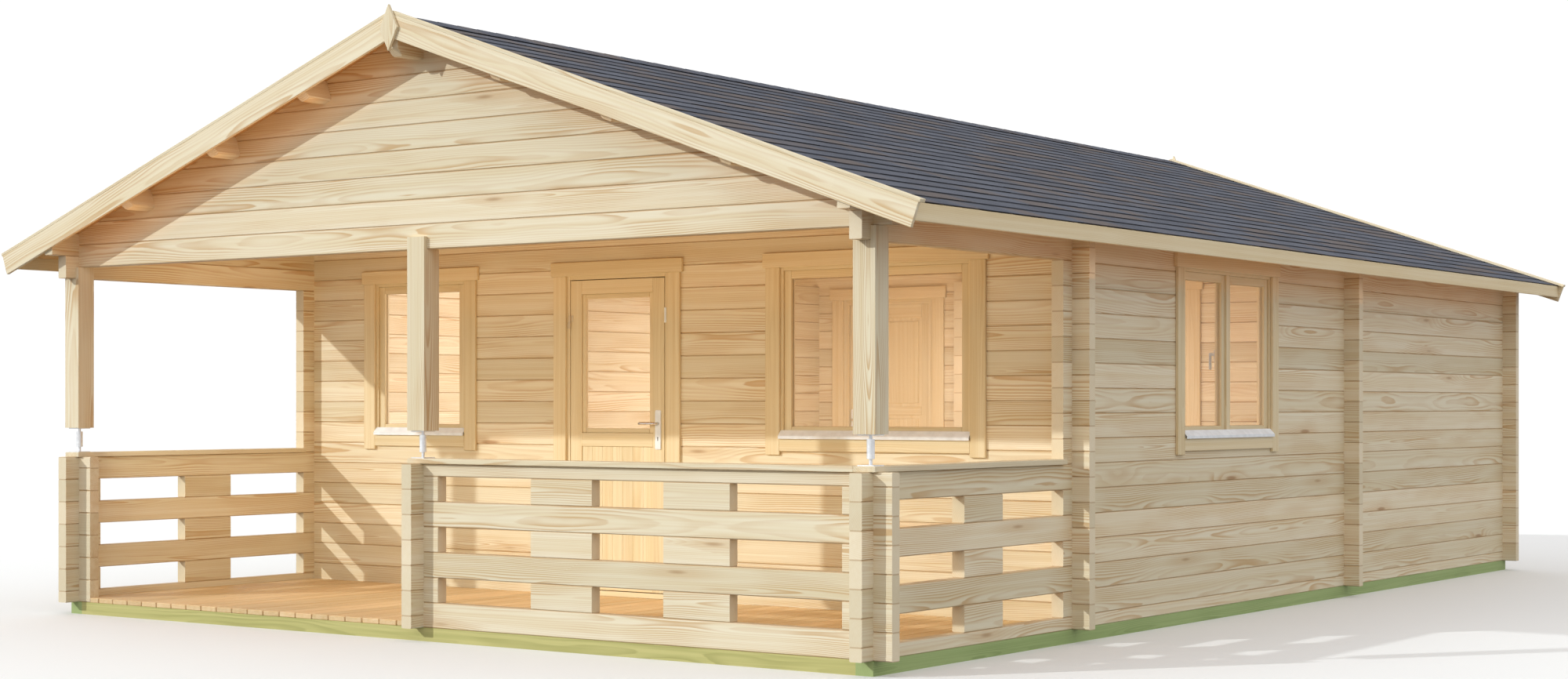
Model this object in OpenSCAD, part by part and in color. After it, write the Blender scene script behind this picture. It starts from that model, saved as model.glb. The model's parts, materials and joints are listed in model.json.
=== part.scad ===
// Log cabin with a roofed terrace: notched square logs, a low pitched roof on purlins,
// posts on screw adjusters, glazed front door, three windows and two inner doors.
// Frame: +X right, +Y back, +Z up, millimetres. The origin lies on the ground under the middle.

/* [Building] */
// Width between the outer faces of the side walls
house_w = 5600; // [5300:10:6400]
// Length from the terrace's front face to the rear wall's outer face
house_l = 9320; // [8800:10:10400]
// Depth of the terrace, front face to front face
terrace_d = 2020; // [1800:10:2400]
// Depth of the front rooms, from the cabin's front face to the cross partition's front face
front_room_d = 3925; // [3700:5:4400]
// Width of the left room, from the left wall's outer face to its partition's far face
left_room_w = 1558; // [1500:2:1640]

/* [Logs] */
// Height of one log
log_h = 134; // [130:1:140]
// Thickness of a log
log_t = 68; // [58:1:80]
// Length of a log end past a crossing
log_end = 100; // [70:5:130]
// Depth of the chamfer along each log edge
chamfer = 5; // [2:0.5:8]
// Courses of logs below the gables
courses = 15; // [15:1:16]

/* [Base] */
// Height of the green foundation beams
sill_h = 72; // [60:1:90]
// Width of the foundation beams
sill_w = 95; // [90:1:120]
// Thickness of the terrace deck
deck_t = 28; // [24:1:35]
// Thickness of the room floors
floor_t = 26; // [20:1:35]
// Width of a floor joist
joist_w = 45; // [40:1:60]
// Largest distance between joists
joist_step = 520; // [400:10:700]

/* [Terrace] */
// Openings high in the railing
rail_rows = 3; // [2:1:3]
// Length of a spacer block in the railing
block_l = 394; // [300:2:460]
// Clear length of the outer openings in the front railing
front_gap = 633; // [560:1:700]
// Clear length of the first opening in the side railings
side_gap = 693; // [560:1:760]
// Width of the boards that cap the railings
cap_w = 120; // [100:1:140]
// Thickness of the boards that cap the railings
cap_t = 28; // [24:1:35]
// Width of a post
post_w = 120; // [100:1:140]
// Height of the gap that a screw adjuster spans
adjuster_h = 147; // [120:1:170]
// Diameter of the adjuster's screw
screw_d = 16; // [12:1:24]
// Length of the screw that shows under the sleeve
screw_show = 28; // [20:1:40]
// Diameter of the adjuster's sleeve
sleeve_d = 38; // [32:1:50]
// Length of the adjuster's sleeve
sleeve_l = 92; // [70:1:95]
// Width of the adjuster's plates
plate_w = 90; // [70:1:100]
// Thickness of the adjuster's plates
plate_t = 5; // [4:0.5:8]

/* [Roof] */
// Pitch of the roof in degrees
roof_pitch = 20; // [18:0.5:22]
// Height of the wall plate at the outer face of the wall
plate_h = 112; // [100:1:130]
// Reach of the roof boards past the side walls
eave_out = 310; // [240:5:380]
// Reach of the roof boards past the terrace front and the rear wall
verge_out = 205; // [150:5:260]
// Thickness of the roof boards
roof_board_t = 19; // [16:1:26]
// Thickness of a shingle
shingle_t = 4; // [3:0.5:6]
// Length of a shingle course down the slope
shingle_course = 145; // [120:1:200]
// Width of the ridge capping on each slope
ridge_cap_w = 150; // [110:5:200]
// Distance between purlins
purlin_step = 710; // [660:1:740]
// Depth of a purlin square to the roof
purlin_h = 114; // [95:1:130]
// Height of the ridge purlin
ridge_h = 190; // [150:1:220]
// Depth of the chamfer along a purlin's lower edges
purlin_chamfer = 8; // [4:1:20]
// Depth of the bevel under a purlin's ends
purlin_bevel = 40; // [20:1:60]
// Width of a bargeboard
barge_w = 137; // [115:1:160]
// Thickness of a bargeboard
barge_t = 20; // [16:1:26]
// Rise of the bargeboard above the shingles
barge_rise = 18; // [10:1:30]
// Reach of the bargeboard past the eave fascia
barge_out = 38; // [20:1:60]
// Reach of the strip on a bargeboard over the shingles
strip_in = 26; // [15:1:40]
// Reach of that strip past the bargeboard's lower end
strip_out = 12; // [4:1:25]
// Height of the eave fascia
fascia_h = 90; // [70:1:110]
// Thickness of the eave fascia
fascia_t = 20; // [16:1:26]
// Half width of the finial boards
finial_half_w = 62; // [50:1:75]
// Half height of the finial boards
finial_half_h = 124; // [100:1:150]
// Thickness of the finial boards
finial_t = 18; // [14:1:24]
// Distance of a finial's centre below the bargeboards' peak
finial_drop = 95; // [60:1:120]

/* [Windows] */
// Distance of the left front window's opening from the left wall's inner face
left_window_in = 547; // [500:1:580]
// Width of the left front window's opening
left_window_w = 800; // [740:1:830]
// Distance of the right front window's opening from the right wall's inner face
right_window_in = 513; // [460:1:560]
// Width of the right front window's opening
right_window_w = 1263; // [1150:1:1320]
// Distance of the side window's opening behind the cabin's front face
side_window_y = 1375; // [1250:1:1500]
// Width of the side window's opening
side_window_w = 1324; // [1200:1:1500]
// Sashes in a front window
front_sash_count = 1; // [1:1:2]
// Sashes in the side window
side_sash_count = 2; // [1:1:3]
// Height of the window openings' lower edge
window_z = 1051; // [980:1:1100]
// Width of a window frame's bars
window_bar = 35; // [30:1:45]
// Width of a sash's bars
sash_bar = 46; // [38:1:56]
// Depth of a sash
sash_d = 44; // [36:1:50]
// Thickness of the glass
glass_t = 6; // [4:1:10]
// Depth that the glass lies in its groove
glass_in = 8; // [5:1:10]
// Room left for the logs to settle over windows and doors
settle = 23; // [15:1:30]

/* [Casings] */
// Width of the casing boards
casing_w = 95; // [80:1:100]
// Width of the casing boards on the room side
inner_casing_w = 70; // [60:1:74]
// Thickness of the casing boards
casing_t = 18; // [14:1:22]
// Height of the casings' head board
head_h = 84; // [70:1:95]
// Thickness of the casings' head board
head_t = 22; // [18:1:28]
// Reach of the head board past the side boards
head_out = 18; // [10:1:24]
// Cover of the casing over the frame behind it
casing_lap = 17; // [10:1:22]
// Height of the board under a window
apron_h = 77; // [60:1:90]
// Length of the side boards below the board under a window
casing_drop = 22; // [14:1:40]
// Reach of the metal window sills
sill_out = 30; // [26:1:50]
// Height of the metal sills' front lip
sill_lip = 16; // [8:1:20]
// Thickness of the metal sills' sheet
sill_sheet = 3; // [2:0.5:4]
// Fall of the metal sills to the front
sill_fall = 33; // [20:1:36]
// Height of the metal sills' back over the foot of the sashes
sill_rise = 25; // [10:1:30]

/* [Doors] */
// Width of a door leaf
door_w = 706; // [680:1:720]
// Thickness of a door leaf
door_t = 40; // [38:1:44]
// Left edge of the front door's leaf
front_door_x = -556; // [-600:1:-520]
// Left edge of the left inner door's leaf
left_inner_x = -995; // [-1010:1:-970]
// Left edge of the right inner door's leaf
right_inner_x = 982; // [940:1:1020]
// Width of a door frame's bars
jamb_w = 40; // [36:1:50]
// Clearance round a door leaf
door_gap = 5; // [5:0.5:7]
// Height of the doors' thresholds above the floor
threshold_h = 30; // [20:1:40]
// Width of a door's stiles and top rail
stile_w = 85; // [75:1:100]
// Width of the bead round the door's glass
bead_w = 28; // [20:1:32]
// Height of the front door's lock rail above the leaf's foot
lock_rail_z = 870; // [830:1:900]
// Height of the front door's lock rail
lock_rail_h = 82; // [70:1:100]
// Height of the bottom rails
foot_rail_h = 150; // [120:1:180]
// Cover of the frame's stop behind a door leaf
stop_lap = 12; // [8:1:16]
// Height of the inner doors' rails between panels
inner_rail_h = 62; // [50:1:80]
// Height of the inner doors' middle panel
middle_panel_h = 115; // [100:1:140]
// Width of the sunk border round an inner door's panel
panel_border = 26; // [18:1:34]
// Depth of the door panels' recess
panel_in = 7; // [5:0.5:10]
// Pitch of the boards in the front door's panel
panel_board = 78; // [68:1:100]
// Width of the grooves between those boards
groove_w = 5; // [3:0.5:6]
// Height of a door handle's centre above the leaf's foot
handle_z = 1010; // [980:1:1050]
// Width of a handle's back plate
back_w = 42; // [36:1:50]
// Height of a handle's back plate
back_h = 235; // [200:1:260]
// Thickness of a handle's back plate
back_t = 8; // [5:0.5:12]
// Diameter of a handle's neck and lever
lever_d = 18; // [14:1:22]
// Length of a handle's lever
lever_l = 128; // [100:1:140]
// Reach of a handle's lever from the leaf
lever_reach = 48; // [40:1:60]
// Diameter of a handle's spindle
spindle_d = 10; // [8:1:12]
// Diameter of a hinge knuckle
knuckle_d = 14; // [12:1:18]
// Diameter of a hinge pin
pin_d = 8; // [6:0.5:9]
// Length of one hinge knuckle
knuckle_l = 40; // [30:1:50]
// Width of a hinge flap
flap_w = 22; // [18:1:28]
// Thickness of a hinge flap
flap_t = 3; // [2:0.5:4]
// Height of the upper hinge above the leaf's foot
upper_hinge_z = 1628; // [1560:1:1680]
// Height of the lower hinge above the leaf's foot
lower_hinge_z = 202; // [180:1:260]

/* [Hidden] */
$fn = 48;
eps = 1;

// Colours of the finishes
pine = [0.90, 0.80, 0.60];
pale_pine = [0.93, 0.86, 0.70];
warm_pine = [0.86, 0.68, 0.42];
green_wood = [0.52, 0.60, 0.36];
slate_blue = [0.33, 0.36, 0.42];
steel = [0.78, 0.79, 0.80];
white_metal = [0.93, 0.93, 0.92];
clear_glass = [0.75, 0.85, 0.88, 0.35];

// Places of the walls: outer faces in X, front faces in Y
wall_x = house_w / 2;
inner_x = wall_x - log_t;
front_y = -house_l / 2;
cabin_y = front_y + terrace_d;
partition_y = cabin_y + front_room_d;
rear_y = house_l / 2 - log_t;
end_x = wall_x + log_end;
left_room_x = -wall_x + left_room_w - log_t;
rear_room_x = -log_t / 2;

// Heights
eave_course = sill_h + courses * log_h;
plate_z = eave_course + log_h / 2;
beam_z = eave_course - log_h / 2;
rail_z = sill_h + (2 * rail_rows + 0.5) * log_h;
cap_z = rail_z + cap_t;
post_z = cap_z + adjuster_h;
deck_z = sill_h + deck_t;

// Roof planes: the underside falls from the apex by roof_fall for each unit across
roof_fall = tan(roof_pitch);
apex_z = plate_z + plate_h + roof_fall * wall_x;
slope_up = 1 / cos(roof_pitch);
layer_gap = 0.3;
board_low = apex_z + layer_gap * slope_up;
board_top = board_low + roof_board_t * slope_up;
shingle_low = board_top + layer_gap * slope_up;
shingle_top = shingle_low + 2 * shingle_t * slope_up;
barge_top = shingle_top + barge_rise * slope_up;
eave_x = wall_x + eave_out;
barge_end_x = eave_x + fascia_t + barge_out;
verge_y = front_y - verge_out;
function under_z(x) = apex_z - roof_fall * abs(x);

// Heights of the seams between logs: cross courses start with a whole log, lengthwise ones with half
function cross_seam(k) = sill_h + k * log_h;
function long_seam(k) = sill_h + (k + 0.5) * log_h;
function levels(bottom, top, shift) = concat(
    [bottom],
    [for (k = [0 : courses + 12]) let (z = sill_h + (k + shift) * log_h)
        if (z > bottom + chamfer * 2 && z < top - chamfer * 2) z],
    [top]);
function log_edge(heights, face, root) = concat(
    [for (i = [0 : len(heights) - 2])
        each [[root, heights[i]],
              [face, heights[i] + chamfer],
              [face, heights[i + 1] - chamfer]]],
    [[root, heights[len(heights) - 1]]]);
function turned(points) = [for (i = [len(points) - 1 : -1 : 0]) points[i]];

// Section of a wall of stacked logs, with a groove at each seam
module log_section(heights) {
    polygon(concat(
        log_edge(heights, 0, chamfer),
        turned(log_edge(heights, log_t, log_t - chamfer))));
}

module along_x(x0, x1, y = 0) {
    translate([x0, y, 0]) rotate([90, 0, 90]) linear_extrude(x1 - x0) children();
}

module along_y(y0, y1, x = 0) {
    translate([x, y1, 0]) rotate([90, 0, 0]) linear_extrude(y1 - y0) children();
}

// Wall that runs across the house
module cross_logs(x0, x1, y, bottom, top) {
    along_x(x0, x1, y) log_section(levels(bottom, top, 0));
}

// Wall that runs along the house
module long_logs(y0, y1, x, bottom, top) {
    along_y(y0, y1, x) log_section(levels(bottom, top, 0.5));
}

// Notches where a lengthwise wall at x crosses: each cross log keeps its middle half there
module cross_notches(x, y, first = 0, last = courses) {
    for (k = [first : last])
        translate([x, y - eps, cross_seam(k) - log_h / 4])
            cube([log_t, log_t + 2 * eps, log_h / 2]);
}

// Notches where a cross wall at y crosses: each lengthwise log keeps its middle half there
module long_notches(x, y, first = -1, last = courses) {
    for (k = [first : last])
        translate([x - eps, y, long_seam(k) - log_h / 4])
            cube([log_t + 2 * eps, log_t, log_h / 2]);
}

// Box between two corners
module block(low, high) {
    translate(low) cube(high - low);
}

// Foundation
module side_sills() {
    color(green_wood)
        for (side = [0, 1]) mirror([side, 0, 0])
            block([wall_x - sill_w, front_y, 0], [wall_x, -front_y, sill_h]);
}

sill_rows = [front_y, cabin_y, partition_y, -front_y - sill_w];

module cross_sills() {
    color(green_wood)
        for (y = sill_rows)
            block([-wall_x + sill_w, y, 0], [wall_x - sill_w, y + sill_w, sill_h]);
}

module floor_joists() {
    color(green_wood)
        for (i = [0 : len(sill_rows) - 2]) {
            y0 = sill_rows[i] + sill_w;
            clear = sill_rows[i + 1] - y0;
            bays = ceil(clear / joist_step);
            for (j = [1 : bays - 1])
                block([-wall_x + sill_w, y0 + clear * j / bays - joist_w / 2, 0],
                      [wall_x - sill_w, y0 + clear * j / bays + joist_w / 2, sill_h]);
        }
}

// Terrace floor: it runs out to the front face at the entry, left of the middle newel
module terrace_deck() {
    color(pale_pine) difference() {
        block([-inner_x, front_y, sill_h], [inner_x, cabin_y, deck_z]);
        block([-log_t / 2, front_y - eps, sill_h - eps], [inner_x + eps, front_y + log_t, deck_z + eps]);
        block([-log_t / 2, front_y - eps, sill_h - eps],
              [log_t / 2, front_y + log_t + log_end, deck_z + eps]);
        block([-inner_x - eps, front_y - eps, sill_h - eps],
              [-inner_x + log_end, front_y + log_t, deck_z + eps]);
        for (side = [-1, 1]) translate([side * inner_x, 0, 0])
            block([-eps, cabin_y - log_end, sill_h - eps], [eps, cabin_y + eps, deck_z + eps]);
    }
}

module room_floors() {
    color(pine) {
        block([-inner_x, cabin_y + log_t, sill_h], [left_room_x, partition_y, sill_h + floor_t]);
        difference() {
            block([left_room_x + log_t, cabin_y + log_t, sill_h], [inner_x, partition_y, sill_h + floor_t]);
            block([rear_room_x, partition_y - log_end, sill_h - eps],
                  [rear_room_x + log_t, partition_y + eps, sill_h + floor_t + eps]);
        }
        block([-inner_x, partition_y + log_t, sill_h], [rear_room_x, rear_y, sill_h + floor_t]);
        block([rear_room_x + log_t, partition_y + log_t, sill_h], [inner_x, rear_y, sill_h + floor_t]);
    }
}

// Places of the doors and windows. A door: left edge of the leaf. A window: left edge and width.
frame_reach = door_gap + jamb_w;
function door_cut(x) = [x - frame_reach, x + door_w + frame_reach];
front_windows = [
    [-inner_x + left_window_in, left_window_w, front_sash_count],
    [inner_x - right_window_in - right_window_w, right_window_w, front_sash_count]
];
side_window = [cabin_y + side_window_y, side_window_w, side_sash_count];
inner_doors = [left_inner_x, right_inner_x];

module window_cut(place) {
    block([place[0], -eps, window_z], [place[0] + place[1], log_t + eps, eave_course + eps]);
}

// Puts a piece drawn at a wall's outer face on the cabin's front wall or on its right wall:
// local X runs along the wall, local Y goes into the building
module on_front() {
    translate([0, cabin_y, 0]) children();
}

module on_right() {
    translate([wall_x, 0, 0]) rotate([0, 0, 90]) children();
}

module front_wall_left() {
    color(pine) difference() {
        cross_logs(-end_x, door_cut(front_door_x)[0], cabin_y, sill_h, eave_course);
        cross_notches(-wall_x, cabin_y);
        on_front() window_cut(front_windows[0]);
    }
}

module front_wall_right() {
    color(pine) difference() {
        cross_logs(door_cut(front_door_x)[1], end_x, cabin_y, sill_h, eave_course);
        cross_notches(inner_x, cabin_y);
        on_front() window_cut(front_windows[1]);
    }
}

// Gable on top of a cross wall: its first log runs out past the corners, the rest end under the roof
module gable(y) {
    top = eave_course + log_h;
    difference() {
        intersection() {
            cross_logs(-end_x, end_x, y, eave_course, apex_z);
            along_y(y - eps, y + log_t + eps)
                polygon([[-end_x - eps, eave_course - eps], [end_x + eps, eave_course - eps],
                         [end_x + eps, top], [inner_x, top], [inner_x, under_z(inner_x)], [0, apex_z],
                         [-inner_x, under_z(inner_x)], [-inner_x, top], [-end_x - eps, top]]);
        }
        for (x = [-wall_x, inner_x]) {
            cross_notches(x, y, courses, courses);
            block([x, y - eps, eave_course + log_h * 3 / 4], [x + log_t, y + log_t + eps, apex_z]);
        }
        along_y(y - eps, y + log_t + eps) {
            ridge_section(log_h);
            for (x = purlin_places) purlin_section(x, log_h);
        }
    }
}

module front_wall_gable() {
    color(pine) gable(cabin_y);
}

module partition_gable() {
    color(pine) difference() {
        gable(partition_y);
        cross_notches(rear_room_x, partition_y, courses, courses);
    }
}

module terrace_gable() {
    color(pale_pine) gable(front_y);
}

module rear_wall() {
    color(pine) difference() {
        cross_logs(-end_x, end_x, rear_y, sill_h, eave_course);
        for (x = [-wall_x, rear_room_x, inner_x])
            cross_notches(x, rear_y);
    }
}

module rear_gable() {
    color(pine) difference() {
        gable(rear_y);
        cross_notches(rear_room_x, rear_y, courses, courses);
    }
}

module side_wall(x) {
    difference() {
        long_logs(cabin_y - log_end, rear_y + log_t + log_end, x, sill_h, plate_z);
        for (y = [cabin_y, partition_y, rear_y])
            long_notches(x, y);
    }
}

module left_wall() {
    color(pine) side_wall(-wall_x);
}

module right_wall() {
    color(pine) difference() {
        side_wall(inner_x);
        on_right() window_cut(side_window);
    }
}

// Cross partition: three lengths of wall beside its two doorways
module partition_wall() {
    stops = concat(-end_x, door_cut(inner_doors[0]), door_cut(inner_doors[1]), end_x);
    color(pine) difference() {
        for (i = [0, 2, 4])
            cross_logs(stops[i], stops[i + 1], partition_y, sill_h, eave_course);
        for (x = [-wall_x, rear_room_x, inner_x])
            cross_notches(x, partition_y);
    }
}

module left_room_wall() {
    color(pine) long_logs(cabin_y + log_t, partition_y, left_room_x, sill_h, plate_z);
}

module rear_room_wall() {
    color(pine) difference() {
        long_logs(partition_y - log_end, rear_y + log_t + log_end, rear_room_x, sill_h, plate_z);
        for (y = [partition_y, rear_y])
            long_notches(rear_room_x, y);
    }
}

// Terrace: lengthwise beams over the posts, and the plates that carry the roof's edge
module terrace_beams() {
    color(pale_pine)
        for (x = [-wall_x, inner_x])
            difference() {
                long_logs(front_y - log_end, cabin_y - log_end, x, beam_z, plate_z);
                long_notches(x, front_y, courses, courses);
            }
}

// Wall plate on the right: a log bevelled to the roof
module plate_section() {
    polygon([[inner_x + chamfer, plate_z], [wall_x - chamfer, plate_z], [wall_x, plate_z + chamfer],
             [wall_x, under_z(wall_x)], [inner_x, under_z(inner_x)], [inner_x, plate_z + chamfer]]);
}

module wall_plates() {
    color(pine)
        for (side = [0, 1]) mirror([side, 0, 0])
            difference() {
                along_y(verge_y, -verge_y) plate_section();
                for (y = [front_y, cabin_y, partition_y, rear_y])
                    block([inner_x - eps, y, plate_z - eps],
                          [wall_x + eps, y + log_t, plate_z + log_h / 4]);
            }
}

// Railings: every second course is open between spacer blocks
module front_railing() {
    first = log_t / 2 + log_end;
    last = inner_x - log_end;
    color(pale_pine) difference() {
        cross_logs(-log_t / 2, end_x, front_y, sill_h, rail_z);
        for (row = [0 : rail_rows - 1], gap = [[first, first + front_gap],
                                               [first + front_gap + block_l, last - front_gap - block_l],
                                               [last - front_gap, last]])
            block([gap[0], front_y - eps, cross_seam(2 * row + 1)],
                  [gap[1], front_y + log_t + eps, cross_seam(2 * row + 2)]);
        cross_notches(-log_t / 2, front_y);
        cross_notches(inner_x, front_y);
    }
}

module side_railings() {
    first = front_y + log_t + log_end;
    last = cabin_y - log_end;
    color(pale_pine)
        for (x = [-wall_x, inner_x])
            difference() {
                long_logs(front_y - log_end, last, x, sill_h, rail_z);
                for (row = [0 : rail_rows - 1], gap = [[first, first + side_gap],
                                                       [first + side_gap + block_l, last + eps]])
                    block([x - eps, gap[0], long_seam(2 * row)],
                          [x + log_t + eps, gap[1], long_seam(2 * row + 1)]);
                long_notches(x, front_y);
            }
}

// Columns of short logs: across the left corner, and lengthwise beside the entry
module entry_newels() {
    color(pale_pine) {
        difference() {
            cross_logs(-end_x, -inner_x + log_end, front_y, sill_h, rail_z);
            cross_notches(-wall_x, front_y);
        }
        difference() {
            long_logs(front_y - log_end, front_y + log_t + log_end, -log_t / 2, sill_h, rail_z);
            long_notches(-log_t / 2, front_y);
        }
    }
}

cap_side = (cap_w - log_t) / 2;

module side_handrails() {
    color(pale_pine)
        for (side = [0, 1]) mirror([side, 0, 0])
            block([inner_x - cap_side, front_y - cap_side, rail_z],
                  [wall_x + cap_side, cabin_y - log_end, cap_z]);
}

module front_handrail() {
    color(pale_pine)
        block([-cap_w / 2, front_y - cap_side, rail_z],
              [inner_x - cap_side, front_y + log_t + cap_side, cap_z]);
}

// Posts: corner posts are slotted for the side beams, the middle one is forked round the gable
corner_post_x = wall_x - log_t / 2;
post_y = front_y + log_t / 2;

module post_blank(x, top) {
    translate([x - post_w / 2, post_y - post_w / 2, post_z])
        cube([post_w, post_w, top - post_z]);
}

module terrace_posts() {
    color(pale_pine) {
        for (side = [-1, 1])
            difference() {
                post_blank(side * corner_post_x, eave_course);
                block([side * corner_post_x - log_t / 2, post_y - post_w, beam_z],
                      [side * corner_post_x + log_t / 2, post_y + post_w, eave_course + eps]);
            }
        difference() {
            post_blank(0, plate_z);
            block([-post_w, front_y, eave_course], [post_w, front_y + log_t, plate_z + eps]);
        }
    }
}

// Screw adjuster between handrail and post: two plates, a screw, and the sleeve that turns it
module adjuster() {
    translate([-plate_w / 2, -plate_w / 2, 0]) cube([plate_w, plate_w, plate_t]);
    translate([-plate_w / 2, -plate_w / 2, adjuster_h - plate_t]) cube([plate_w, plate_w, plate_t]);
    cylinder(d = screw_d, h = adjuster_h - plate_t / 2);
    translate([0, 0, plate_t + screw_show]) cylinder(d = sleeve_d, h = sleeve_l);
}

module post_screws() {
    color(steel)
        for (x = [-corner_post_x, 0, corner_post_x])
            translate([x, post_y, cap_z]) adjuster();
}

// Purlins: logs square to the roof with bevelled ends; their cuts in the gables reach over the roof
purlin_places = [for (i = [-3 : 3]) if (i != 0) i * purlin_step];

module purlin_section(x, over = 0) {
    side = log_t / 2;
    translate([x, under_z(x)]) rotate(x > 0 ? -roof_pitch : roof_pitch)
        polygon([[-side + purlin_chamfer, -purlin_h], [side - purlin_chamfer, -purlin_h],
                 [side, purlin_chamfer - purlin_h], [side, over], [-side, over],
                 [-side, purlin_chamfer - purlin_h]]);
}

module ridge_section(over = 0) {
    low = apex_z - ridge_h;
    side = log_t / 2;
    polygon([[-side + purlin_chamfer, low], [side - purlin_chamfer, low], [side, low + purlin_chamfer],
             [side, under_z(side) + over], [0, apex_z + over], [-side, under_z(side) + over],
             [-side, low + purlin_chamfer]]);
}

// Wedge that bevels the front end of a log whose underside is at height low
module end_bevel(low) {
    cut = purlin_bevel + eps;
    translate([-log_t, verge_y - eps, low - eps]) rotate([90, 0, 90]) linear_extrude(2 * log_t)
        polygon([[0, 0], [cut + eps, 0], [0, cut + eps]]);
}

module purlin(x) {
    difference() {
        along_y(verge_y, -verge_y) purlin_section(x);
        for (end = [0, 1]) mirror([0, end, 0])
            translate([x, 0, under_z(x)]) rotate([0, x > 0 ? roof_pitch : -roof_pitch, 0])
                end_bevel(-purlin_h);
    }
}

module purlins() {
    color(pine) {
        difference() {
            along_y(verge_y, -verge_y) ridge_section();
            for (end = [0, 1]) mirror([0, end, 0]) end_bevel(apex_z - ridge_h);
        }
        for (x = purlin_places) purlin(x);
    }
}

// Roof layers on the right slope, from the underside at height low to the top at height high over the apex
module slope_section(low, high, end) {
    polygon([[0, low], [end, low - roof_fall * end], [end, high - roof_fall * end], [0, high]]);
}

module right_roof_boards() {
    color(warm_pine) along_y(verge_y, -verge_y) slope_section(board_low, board_top, eave_x);
}

module left_roof_boards() {
    mirror([1, 0, 0]) right_roof_boards();
}

// Shingles: each course laps over the next one down the slope
shingle_end = eave_x + fascia_t;
course_x = shingle_course * cos(roof_pitch);
shingle_rows = ceil(shingle_end / course_x);

module shingle_section() {
    steps = [for (i = [0 : shingle_rows - 1])
        let (x0 = max(0, shingle_end - (shingle_rows - i) * course_x),
             x1 = shingle_end - (shingle_rows - i - 1) * course_x)
        each [[x0, shingle_top - roof_fall * x0 - shingle_t * slope_up],
              [x1, shingle_top - roof_fall * x1]]];
    polygon(concat([[0, shingle_low]], steps, [[shingle_end, shingle_low - roof_fall * shingle_end]]));
}

module right_shingles() {
    color(slate_blue) along_y(verge_y, -verge_y) shingle_section();
}

module left_shingles() {
    mirror([1, 0, 0]) right_shingles();
}

// Capping folded over the ridge
module ridge_cap() {
    cap_x = ridge_cap_w * cos(roof_pitch);
    low = shingle_top + layer_gap * slope_up;
    high = low + shingle_t * slope_up;
    color(slate_blue) along_y(verge_y + strip_in + eps, -verge_y - strip_in - eps)
        polygon([[-cap_x, low - roof_fall * cap_x], [0, low], [cap_x, low - roof_fall * cap_x],
                 [cap_x, high - roof_fall * cap_x], [0, high], [-cap_x, high - roof_fall * cap_x]]);
}

// Bargeboards: cut plumb at the ridge and square at the eave, with a strip on top that covers the verge
module barge_section(width, end) {
    square_cut = width * sin(roof_pitch);
    drop = width * slope_up;
    low_x = end - square_cut;
    polygon([[0, barge_top - drop], [low_x, barge_top - drop - roof_fall * low_x],
             [end, barge_top - roof_fall * end], [0, barge_top]]);
}

module right_bargeboards() {
    color(pale_pine)
        for (end = [0, 1]) mirror([0, end, 0]) {
            along_y(verge_y - barge_t, verge_y) barge_section(barge_w, barge_end_x);
            along_y(verge_y - barge_t, verge_y + strip_in)
                barge_section(barge_rise - layer_gap, barge_end_x + strip_out);
        }
}

module left_bargeboards() {
    mirror([1, 0, 0]) right_bargeboards();
}

module finials() {
    centre_z = barge_top - finial_drop;
    color(pale_pine)
        for (y = [verge_y - barge_t - finial_t, -verge_y + barge_t])
            along_y(y, y + finial_t)
                polygon([[-finial_half_w, centre_z], [0, centre_z - finial_half_h],
                         [finial_half_w, centre_z], [0, centre_z + finial_half_h]]);
}

module eave_fascias() {
    top = board_top - roof_fall * eave_x;
    color(pale_pine)
        for (side = [0, 1]) mirror([side, 0, 0])
            along_y(verge_y, -verge_y)
                polygon([[eave_x, top - fascia_h], [eave_x + fascia_t, top - fascia_h],
                         [eave_x + fascia_t, top - roof_fall * fascia_t], [eave_x, top]]);
}

// Windows, drawn at a wall's outer face: place is the left edge, the width and the count of sashes
window_top = eave_course - settle;

module ring(x0, x1, z0, z1, bar, y0, y1) {
    difference() {
        block([x0, y0, z0], [x1, y1, z1]);
        block([x0 + bar, y0 - eps, z0 + bar], [x1 - bar, y1 + eps, z1 - bar]);
    }
}

module each_window() {
    for (place = front_windows)
        on_front() {
            $place = place;
            children();
        }
    on_right() {
        $place = side_window;
        children();
    }
}

// Edges of each sash of a window, as [left, right]
function sashes(place) = let (
    clear = place[1] - window_bar * (place[2] + 1),
    one = clear / place[2])
    [for (i = [0 : place[2] - 1]) let (x = place[0] + window_bar + i * (one + window_bar)) [x, x + one]];

sash_y0 = (log_t - sash_d) / 2;
glass_y0 = (log_t - glass_t) / 2;
pane_edge = sash_bar - glass_in;

module window_frame(place) {
    difference() {
        block([place[0], 0, window_z], [place[0] + place[1], log_t, window_top]);
        for (s = sashes(place))
            block([s[0], -eps, window_z + window_bar], [s[1], log_t + eps, window_top - window_bar]);
    }
}

module pane(place) {
    for (s = sashes(place))
        block([s[0] + pane_edge, glass_y0, window_z + window_bar + pane_edge],
              [s[1] - pane_edge, glass_y0 + glass_t, window_top - window_bar - pane_edge]);
}

module sash(place) {
    difference() {
        for (s = sashes(place))
            ring(s[0], s[1], window_z + window_bar, window_top - window_bar,
                 sash_bar, sash_y0, sash_y0 + sash_d);
        pane(place);
    }
}

// Casing on the outer face: side boards, a head that reaches past them and a board under the window
module casing(place, foot, width = casing_w) {
    x0 = place[0] + casing_lap - width;
    x1 = place[0] + place[1] - casing_lap + width;
    head_z = window_top - casing_lap;
    for (x = [x0, x1 - width])
        block([x, -casing_t, foot], [x + width, 0, head_z]);
    block([x0 - head_out, -head_t, head_z], [x1 + head_out, 0, head_z + head_h]);
}

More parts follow.
